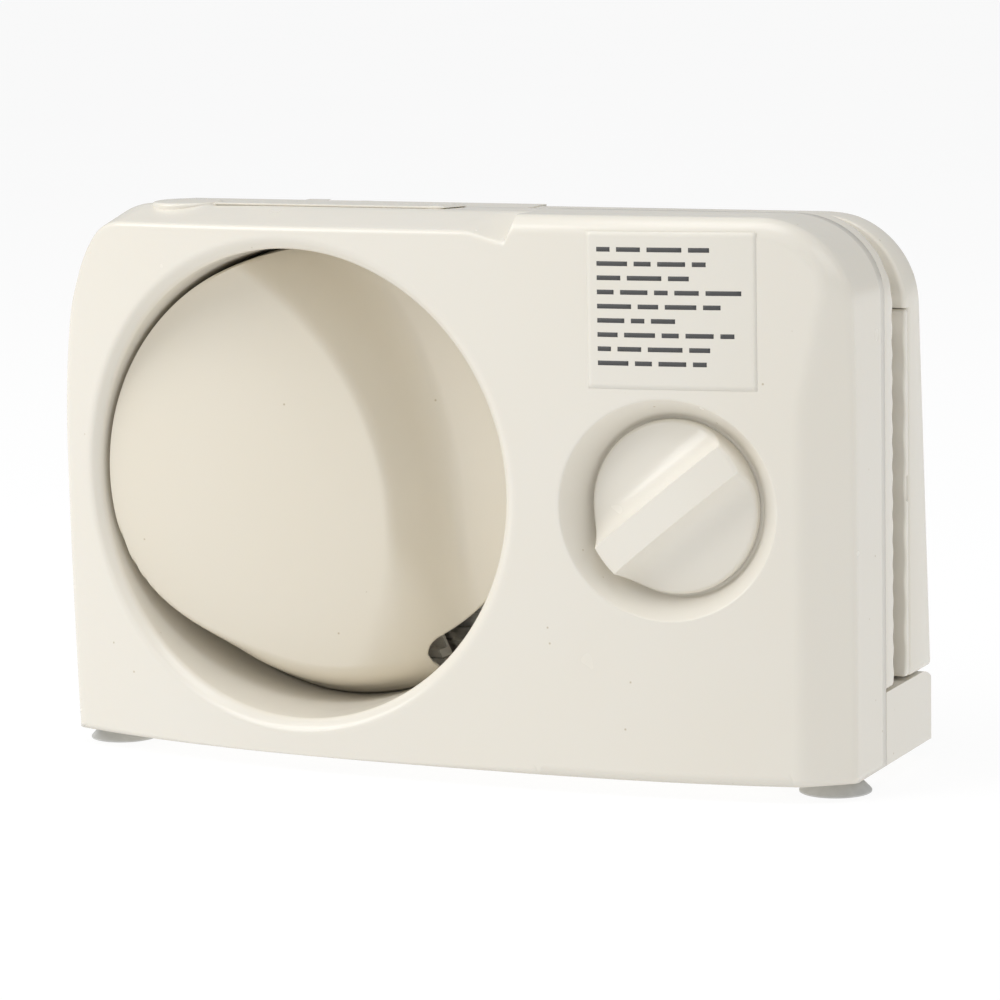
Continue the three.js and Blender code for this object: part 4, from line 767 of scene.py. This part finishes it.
def tray_grids():
    """Folded tray: rounded sections stacked upwards. The rear leans, the front steps back for the
    carriage, and ears with round feet hold the hinge pins."""
    low, top = TRAY_BOTTOM, TRAY_HIGH[2]
    step = CARRIAGE_HIGH[2] + 0.4
    deck = CARRIAGE_HIGH[1] + 0.4
    z = levels(low, top, (step - 0.01, step + 0.5, step + 0.01))
    left, right = upright_span(z, low, top)
    ease = end_ease(z, low, top, 1.6)
    wave = 0.5 * np.exp(-((z - step - 5.0) / 2.6) ** 2)
    front = np.where(z < step, deck, TRAY_LOW[1] + 0.5 * np.exp(-(z - step) / 0.4) + wave)
    rear = mix(TRAY_HIGH[1], TRAY_LOW[1] + 13.5, (z - low) / (top - low))
    body = box_loops(left + ease, right - ease, front + ease, rear - ease, z, 1.6, 24)
    pin_low, pin_high = span("tray_hinge_pin_left")
    hinge_y, hinge_z = (pin_low[1] + pin_high[1]) / 2, (pin_low[2] + pin_high[2]) / 2
    turn = np.linspace(math.pi, 2 * math.pi, 25)
    foot = np.stack([hinge_y + 4.6 * np.cos(turn), hinge_z + 4.6 * np.sin(turn)], 1)
    loop = np.concatenate([foot, [[hinge_y + 4.6, low + 2.5], [hinge_y - 4.6, low + 2.5]]])
    ears = []
    for node in ("tray_hinge_pin_left", "tray_hinge_pin_right"):
        pin_low, pin_high = span(node)
        middle = (pin_low[0] + pin_high[0]) / 2
        rows = []
        for x, inset in ((-2.9, 0.5), (-2.4, 0.0), (2.4, 0.0), (2.9, 0.5)):
            centre = loop.mean(0)
            ring = centre + (loop - centre) * (1 - inset / 6)
            rows.append(np.stack([np.full(len(ring), middle + x), ring[:, 0], ring[:, 1]], 1))
        ears.append(capped(np.stack(rows)))
    return [capped(body), *ears]


def carriage_grids(sizes):
    """Food carriage: a slab with sine ribs on its face and a groove behind for the tray's rail."""
    (x0, y0, low), (x1, y1, high) = CARRIAGE_LOW, CARRIAGE_HIGH
    rail = 4.4
    z = np.unique(np.round(np.concatenate([
        low + 1.2 * (1 - np.cos(np.linspace(0, math.pi / 2, 6))), np.arange(low + 1.4, high - 1.3, 0.7),
        high - 1.2 * (1 - np.cos(np.linspace(0, math.pi / 2, 6))),
        [KNOB_Z - rail, KNOB_Z - rail + 0.05, KNOB_Z + rail, KNOB_Z + rail - 0.05],
    ]), 4))
    ease = end_ease(z, low, high, 1.0)
    wave = 0.45 * (1 - np.cos(2 * math.pi * (z - low) / sizes.tray_ribs))
    groove = np.where(np.abs(z - KNOB_Z) < rail - 0.01, 1.6, 0.0)
    return [capped(box_loops(x0 + ease, x1 - ease, y0 + wave + ease, y1 - groove - ease, z, 0.9, 24))]


# ---- operators


CAMERA_PLACE = (0.5913, -1.2893, 0.3046)
CAMERA_TURN = math.radians(24.351)
CAMERA_DOWN = math.radians(8.665)
CAMERA_ROLL = math.radians(-1.073)
LENS = 151.2
LAMPS = (                              # name, turn, rise, distance, size, power
    ("Key", -50.0, 38.0, 1.9, 1.3, 19.0), ("Side", 84.0, 30.0, 1.8, 1.0, 3.6),
    ("Top", 10.0, 78.0, 1.9, 1.2, 11.0),
)


def heading(turn, down):
    """Unit vector from the front, turned to the left and then down."""
    return Vector((-math.sin(turn) * math.cos(down), math.cos(turn) * math.cos(down), -math.sin(down)))


class SLICER_OT_stage(bpy.types.Operator):
    """Pale floor, plain soft studio light and the camera"""

    bl_idname = "slicer.stage"
    bl_label = "Stage"

    def execute(self, context):
        scene = context.scene
        forward = heading(CAMERA_TURN, CAMERA_DOWN)
        level = Vector((math.cos(CAMERA_TURN), math.sin(CAMERA_TURN), 0.0))
        right = level * math.cos(CAMERA_ROLL) + level.cross(forward) * math.sin(CAMERA_ROLL)
        axes = Matrix((right, right.cross(forward), -forward)).transposed().to_4x4()
        camera = bpy.data.objects.new("Camera", bpy.data.cameras.new("Camera"))
        camera.data.lens = LENS
        camera.data.sensor_width = 36.0
        camera.data.clip_end = 60.0
        camera.matrix_world = Matrix.Translation(CAMERA_PLACE) @ axes
        scene.collection.objects.link(camera)
        scene.camera = camera
        scene.view_settings.view_transform = "Standard"
        floor_mesh = bpy.data.meshes.new("Floor")
        reach = 30.0
        floor_mesh.from_pydata([(-reach, -reach, 0), (reach, -reach, 0), (reach, reach, 0),
                                (-reach, reach, 0)], [], [(0, 1, 2, 3)])
        floor = bpy.data.objects.new("Floor", floor_mesh)
        scene.collection.objects.link(floor)
        material, tree, shader = new_finish("pale_floor", (0.13, 0.13, 0.13), 0.9)
        set_inputs(tree, shader, {
            "Specular IOR Level": 0.1, "Emission Color": (1.0, 1.0, 1.0), "Emission Strength": 0.88,
            "Roughness": ranged(tree, noise(tree, 3.0), 0.86, 0.94),
        })
        floor_mesh.materials.append(material)
        world = bpy.data.worlds.new("Studio")
        world.use_nodes = True
        tree = world.node_tree
        set_inputs(tree, tree.nodes["Background"], {"Color": (0.97, 0.985, 1.0), "Strength": 0.4})
        scene.world = world
        for name, turn, rise, distance, size, power in LAMPS:
            lamp = bpy.data.lights.new(name, "AREA")
            lamp.size = size
            lamp.energy = power
            light = bpy.data.objects.new(name, lamp)
            way = -heading(math.radians(turn), math.radians(rise))
            light.location = Vector((0, 0, 0.1)) + way * distance
            light.rotation_euler = way.to_track_quat("Z", "Y").to_euler()
            scene.collection.objects.link(light)
        return {"FINISHED"}


class SLICER_OT_finishes(bpy.types.Operator):
    """Procedural finishes, given to every piece of the frame by its slot"""

    bl_idname = "slicer.finishes"
    bl_label = "Finishes"

    def execute(self, context):
        colours = context.scene.slicer_colours
        cream, bowl = tuple(colours.cream), tuple(colours.bowl)
        FINISHES.update({
            "cream_plastic": moulded_plastic("cream_plastic", cream, 0.24),
            "bowl_plastic": moulded_plastic("bowl_plastic", bowl, 0.2),
            "label_film": moulded_plastic("label_film", cream, 0.3, 0.2),
            "grey_rubber": soft_rubber("grey_rubber", tuple(colours.rubber)),
            "blade_steel": brushed_metal("blade_steel", tuple(colours.steel), 0.3, (0.06, 1.0, 1.0)),
            "plated_steel": brushed_metal("plated_steel", (0.55, 0.55, 0.56), 0.38, (1.0, 0.2, 1.0)),
            "acetal": machine_plastic("acetal", (0.8, 0.8, 0.76), 0.42),
            "nylon": machine_plastic("nylon", (0.035, 0.035, 0.037), 0.5),
            "copper": wound_copper("copper", (0.62, 0.3, 0.14)),
            "bronze": brushed_metal("bronze", (0.5, 0.34, 0.15), 0.45, (1.0, 0.4, 1.0)),
            "ferrite": machine_plastic("ferrite", (0.05, 0.05, 0.055), 0.75),
        })
        for part in frame["record"]["subparts"]:
            node = frame["nodes"][part["node"]]
            node.data.materials.clear()
            node.data.materials.append(FINISHES[part["material_slot"]])
        for name in ("rear_shell", "base_block", "base_cover", "cord_inlet", "gear_plate", "motor_can"):
            node = frame["nodes"][name]
            weld = node.modifiers.new("Weld", "WELD")
            weld.merge_threshold = 0.00002
            bevel = node.modifiers.new("Eased edges", "BEVEL")
            bevel.width = 0.0004
            bevel.segments = 3
            bevel.limit_method = "ANGLE"
            bevel.angle_limit = math.radians(35)
        return {"FINISHED"}


class SLICER_OT_housing(bpy.types.Operator):
    """Front shell with its rounded rim, dish, sloping band and chamfer"""

    bl_idname = "slicer.housing"
    bl_label = "Front shell"

    def execute(self, context):
        sizes = context.scene.slicer_sizes
        add_piece("front_housing", shell_grids(sizes), "housing", ["front_shell"], "cream_plastic",
                  wall=sizes.shell_wall, outward=(0, -1, 0))
        return {"FINISHED"}


class SLICER_OT_bowl(bpy.types.Operator):
    """Slice bowl and motor cover"""

    bl_idname = "slicer.bowl"
    bl_label = "Slice bowl"

    def execute(self, context):
        add_piece("bowl_and_motor_cover", bowl_grids(), "housing", ["slice_bowl"], "bowl_plastic",
                  wall=2.0, outward=(0, -1, 0))
        return {"FINISHED"}


class SLICER_OT_knob(bpy.types.Operator):
    """Thickness knob with its grip bar"""

    bl_idname = "slicer.knob"
    bl_label = "Thickness knob"

    def execute(self, context):
        add_piece("knob_and_grip", knob_grids(context.scene.slicer_sizes), "knob", ["thickness_knob"],
                  "cream_plastic", loops=(0,))
        return {"FINISHED"}


class SLICER_OT_gauge(bpy.types.Operator):
    """Ribbed gauge plate and its skirt"""

    bl_idname = "slicer.gauge"
    bl_label = "Gauge plate"

    def execute(self, context):
        add_piece("ribbed_gauge_plate", gauge_grids(context.scene.slicer_sizes), "gauge", ["gauge_plate"],
                  "cream_plastic", loops=(0, 1))
        return {"FINISHED"}


class SLICER_OT_tray(bpy.types.Operator):
    """Fold-up tray and sliding carriage"""

    bl_idname = "slicer.tray"
    bl_label = "Tray and carriage"

    def execute(self, context):
        add_piece("folding_tray", tray_grids(), "tray", ["food_tray"], "cream_plastic", loops=(0, 1, 2))
        add_piece("sliding_carriage", carriage_grids(context.scene.slicer_sizes), "carriage",
                  ["food_carriage"], "cream_plastic", loops=(0,))
        return {"FINISHED"}


class SLICER_OT_button(bpy.types.Operator):
    """Power button, switch plate and button spring"""

    bl_idname = "slicer.button"
    bl_label = "Power button"

    def execute(self, context):
        low, high = span("power_button")
        centre, flange = across_axis(low, high, "Z")
        top, radius = high[2], flange - 1.2
        turn = np.linspace(0, math.pi / 2, 9)
        crown = [(r, top - 0.35 * (r / radius) ** 2) for r in np.linspace(0, radius - 1.2, 12)]
        edge = [(radius - 1.2 + 1.2 * math.sin(a), top - 1.5 + 1.2 * math.cos(a)) for a in turn]
        profile = crown + edge + [
            (radius, top - 5.4), (flange, top - 5.4), (flange, top - 6.8),
            (3, top - 6.8), (3, top - 12), (0, top - 12),
        ]
        add_piece("button_cap", [turned(profile, centre, "Z")], "button", ["power_button"],
                  "cream_plastic", loops=(0,))
        low, high = span("switch_plate")
        steps = np.linspace(0, 1, 60)
        ends = end_ease(steps * (high[0] - low[0]), 0.0, high[0] - low[0], 1.0)
        middle, half = (low[1] + high[1]) / 2, (high[1] - low[1]) / 2 - 0.2
        around = np.radians(np.arange(0, 360, 7.5))[None]
        width = (half - ends)[:, None]
        raise_by = (0.55 - 0.5 * ends)[:, None] + 0.25 * np.exp(-((steps - 0.96) / 0.02) ** 2)[:, None]
        px = (low[0] + steps * (high[0] - low[0]))[:, None] + 0 * around
        py = middle + width * np.sign(np.cos(around)) * np.abs(np.cos(around)) ** 0.35
        level = high[2] - 1.0 - TOP_SLOPE * (py - low[1])
        pz = level + raise_by * np.sign(np.sin(around)) * np.abs(np.sin(around)) ** 0.5
        add_piece("raised_switch_plate", [capped(np.stack([px, py, pz], -1))], "housing", ["switch_plate"],
                  "cream_plastic", loops=(0,))
        low, high = span("button_spring")
        radius = (high[0] - low[0]) / 2 - 0.45
        spring = add_piece("button_coil", [helix(centre, "Z", low[2], high[2], radius, 0.42, 5)],
                           "housing", ["button_spring"], "plated_steel", loops=(0,))
        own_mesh(spring)
        return {"FINISHED"}


class SLICER_OT_label(bpy.types.Operator):
    """Label film with plain printed bars in place of words"""

    bl_idname = "slicer.label"
    bl_label = "Label"

    def execute(self, context):
        low, high = span("label_plate")
        x = np.linspace(low[0], high[0], 40)
        z = np.linspace(low[2], high[2], 30)
        grid_x, grid_z = np.meshgrid(x, z, indexing="ij")
        film = np.stack([grid_x, bow(grid_x) - 0.03, grid_z], -1)
        add_piece("label_sheet", [film], "housing", ["label_plate"], "label_film", wall=0.06,
                  outward=(0, -1, 0))
        material, tree, shader = new_finish("label_print", tuple(context.scene.slicer_colours.ink), 0.5)
        set_inputs(tree, shader, {"Roughness": ranged(tree, noise(tree, 900.0), 0.42, 0.6)})
        bars = []
        pitch, height, margin = 4.6, 1.5, 3.5
        rows = int((high[2] - low[2] - 2 * margin) / pitch)
        for row in range(rows):
            left = low[0] + margin
            middle = high[2] - margin - (row + 0.5) * pitch
            for word in range(5):
                length = 4.5 + 7.0 * ((row * 5 + word * 3) % 7) / 6
                if left + length > high[0] - margin - (row % 3) * 5.0:
                    break
                bar_x, bar_z = np.meshgrid(np.linspace(left, left + length, 8),
                                           np.array([middle - height / 2, middle + height / 2]),
                                           indexing="ij")
                bars.append(np.stack([bar_x, bow(bar_x) - 0.06, bar_z], -1))
                left += length + 2.2
        add_piece("label_bars", bars, "housing", [], "label_film", wall=0.03, outward=(0, -1, 0),
                  finish=material)
        return {"FINISHED"}


class SLICER_OT_feet(bpy.types.Operator):
    """Four suction feet with thin flared rims"""

    bl_idname = "slicer.feet"
    bl_label = "Suction feet"

    def execute(self, context):
        for side in ("front_left", "front_right", "rear_left", "rear_right"):
            low, high = span("suction_foot_" + side)
            centre, rim = across_axis(low, high, "Z")
            t = np.linspace(0, 1, 14)
            bell = [(5.0 + (rim - 5.0) * s, 5.9 - 5.3 * s ** 1.5) for s in t]
            inside = [(rim - 0.9 - (rim - 6.0) * s, 0.05 + 2.4 * s ** 0.6) for s in t]
            profile = [(0, high[2]), (4.0, high[2]), (4.4, high[2] - 0.4), (4.4, high[2] - 1.9),
                       (3.0, high[2] - 2.0), (3.0, 6.0), *bell, (rim, 0.1), (rim - 0.2, 0.0), *inside,
                       (0, 2.5)]
            add_piece("foot_" + side, [turned(profile, centre, "Z", 72)], "housing",
                      ["suction_foot_" + side], "grey_rubber", loops=(0,))
        return {"FINISHED"}


class SLICER_OT_blade(bpy.types.Operator):
    """Round blade with its ground bevel and pressed ring"""

    bl_idname = "slicer.blade"
    bl_label = "Blade"

    def execute(self, context):
        low, high = span("blade")
        centre, radius = across_axis(low, high, "Y")
        front, rear = low[1], high[1]
        profile = [
            (9.3, front), (26.0, front), (26.6, front + 0.1), (radius - 8.0, front + 0.1),
            (radius - 7.6, front + 0.16), (radius - 0.05, rear - 0.16), (radius, rear - 0.08),
            (radius - 0.05, rear), (44.0, rear), (43.4, rear - 0.25), (34.0, rear - 0.25), (33.4, rear),
            (9.3, rear), (9.3, front),
        ]
        add_piece("ground_blade", [turned(profile, centre, "Y", 240)], "blade_unit", ["blade"],
                  "blade_steel", loops=(0,))
        return {"FINISHED"}


class SLICER_OT_springs(bpy.types.Operator):
    """Coil springs that press the gauge plate's follower on the cam"""

    bl_idname = "slicer.springs"
    bl_label = "Gauge springs"

    def execute(self, context):
        for side in ("lower", "upper"):
            low, high = span("gauge_spring_" + side)
            centre, radius = across_axis(low, high, "Y")
            turns = context.scene.slicer_sizes.spring_turns
            rows = helix(centre, "Y", low[1], high[1], radius - 0.45, 0.4, turns)
            coil = add_piece("gauge_coil_" + side, [rows], "housing", ["gauge_spring_" + side],
                             "plated_steel", loops=(0,))
            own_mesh(coil)
        return {"FINISHED"}


class SLICER_PT_panel(bpy.types.Panel):
    """Builds the slicer piece by piece"""

    bl_label = "Food Slicer"
    bl_idname = "SLICER_PT_panel"
    bl_space_type = "VIEW_3D"
    bl_region_type = "UI"
    bl_category = "Food Slicer"

    def draw(self, context):
        for group in (context.scene.slicer_sizes, context.scene.slicer_colours):
            for name in group.__annotations__:
                self.layout.prop(group, name)
        for step in STEPS:
            self.layout.operator(step.bl_idname)


STEPS = (
    SLICER_OT_stage, SLICER_OT_finishes, SLICER_OT_housing, SLICER_OT_bowl, SLICER_OT_knob,
    SLICER_OT_gauge, SLICER_OT_tray, SLICER_OT_button, SLICER_OT_label, SLICER_OT_feet,
    SLICER_OT_blade, SLICER_OT_springs,
)


def register():
    for kind in (SlicerSizes, SlicerColours, *STEPS, SLICER_PT_panel):
        bpy.utils.register_class(kind)
    bpy.types.Scene.slicer_sizes = PointerProperty(type=SlicerSizes)
    bpy.types.Scene.slicer_colours = PointerProperty(type=SlicerColours)


def unregister():
    del bpy.types.Scene.slicer_colours
    del bpy.types.Scene.slicer_sizes
    for kind in (SLICER_PT_panel, *reversed(STEPS), SlicerColours, SlicerSizes):
        bpy.utils.unregister_class(kind)


def main():
    register()
    for step in STEPS:
        group, name = step.bl_idname.split(".")
        getattr(getattr(bpy.ops, group), name)()


if __name__ == "__main__":
    main()
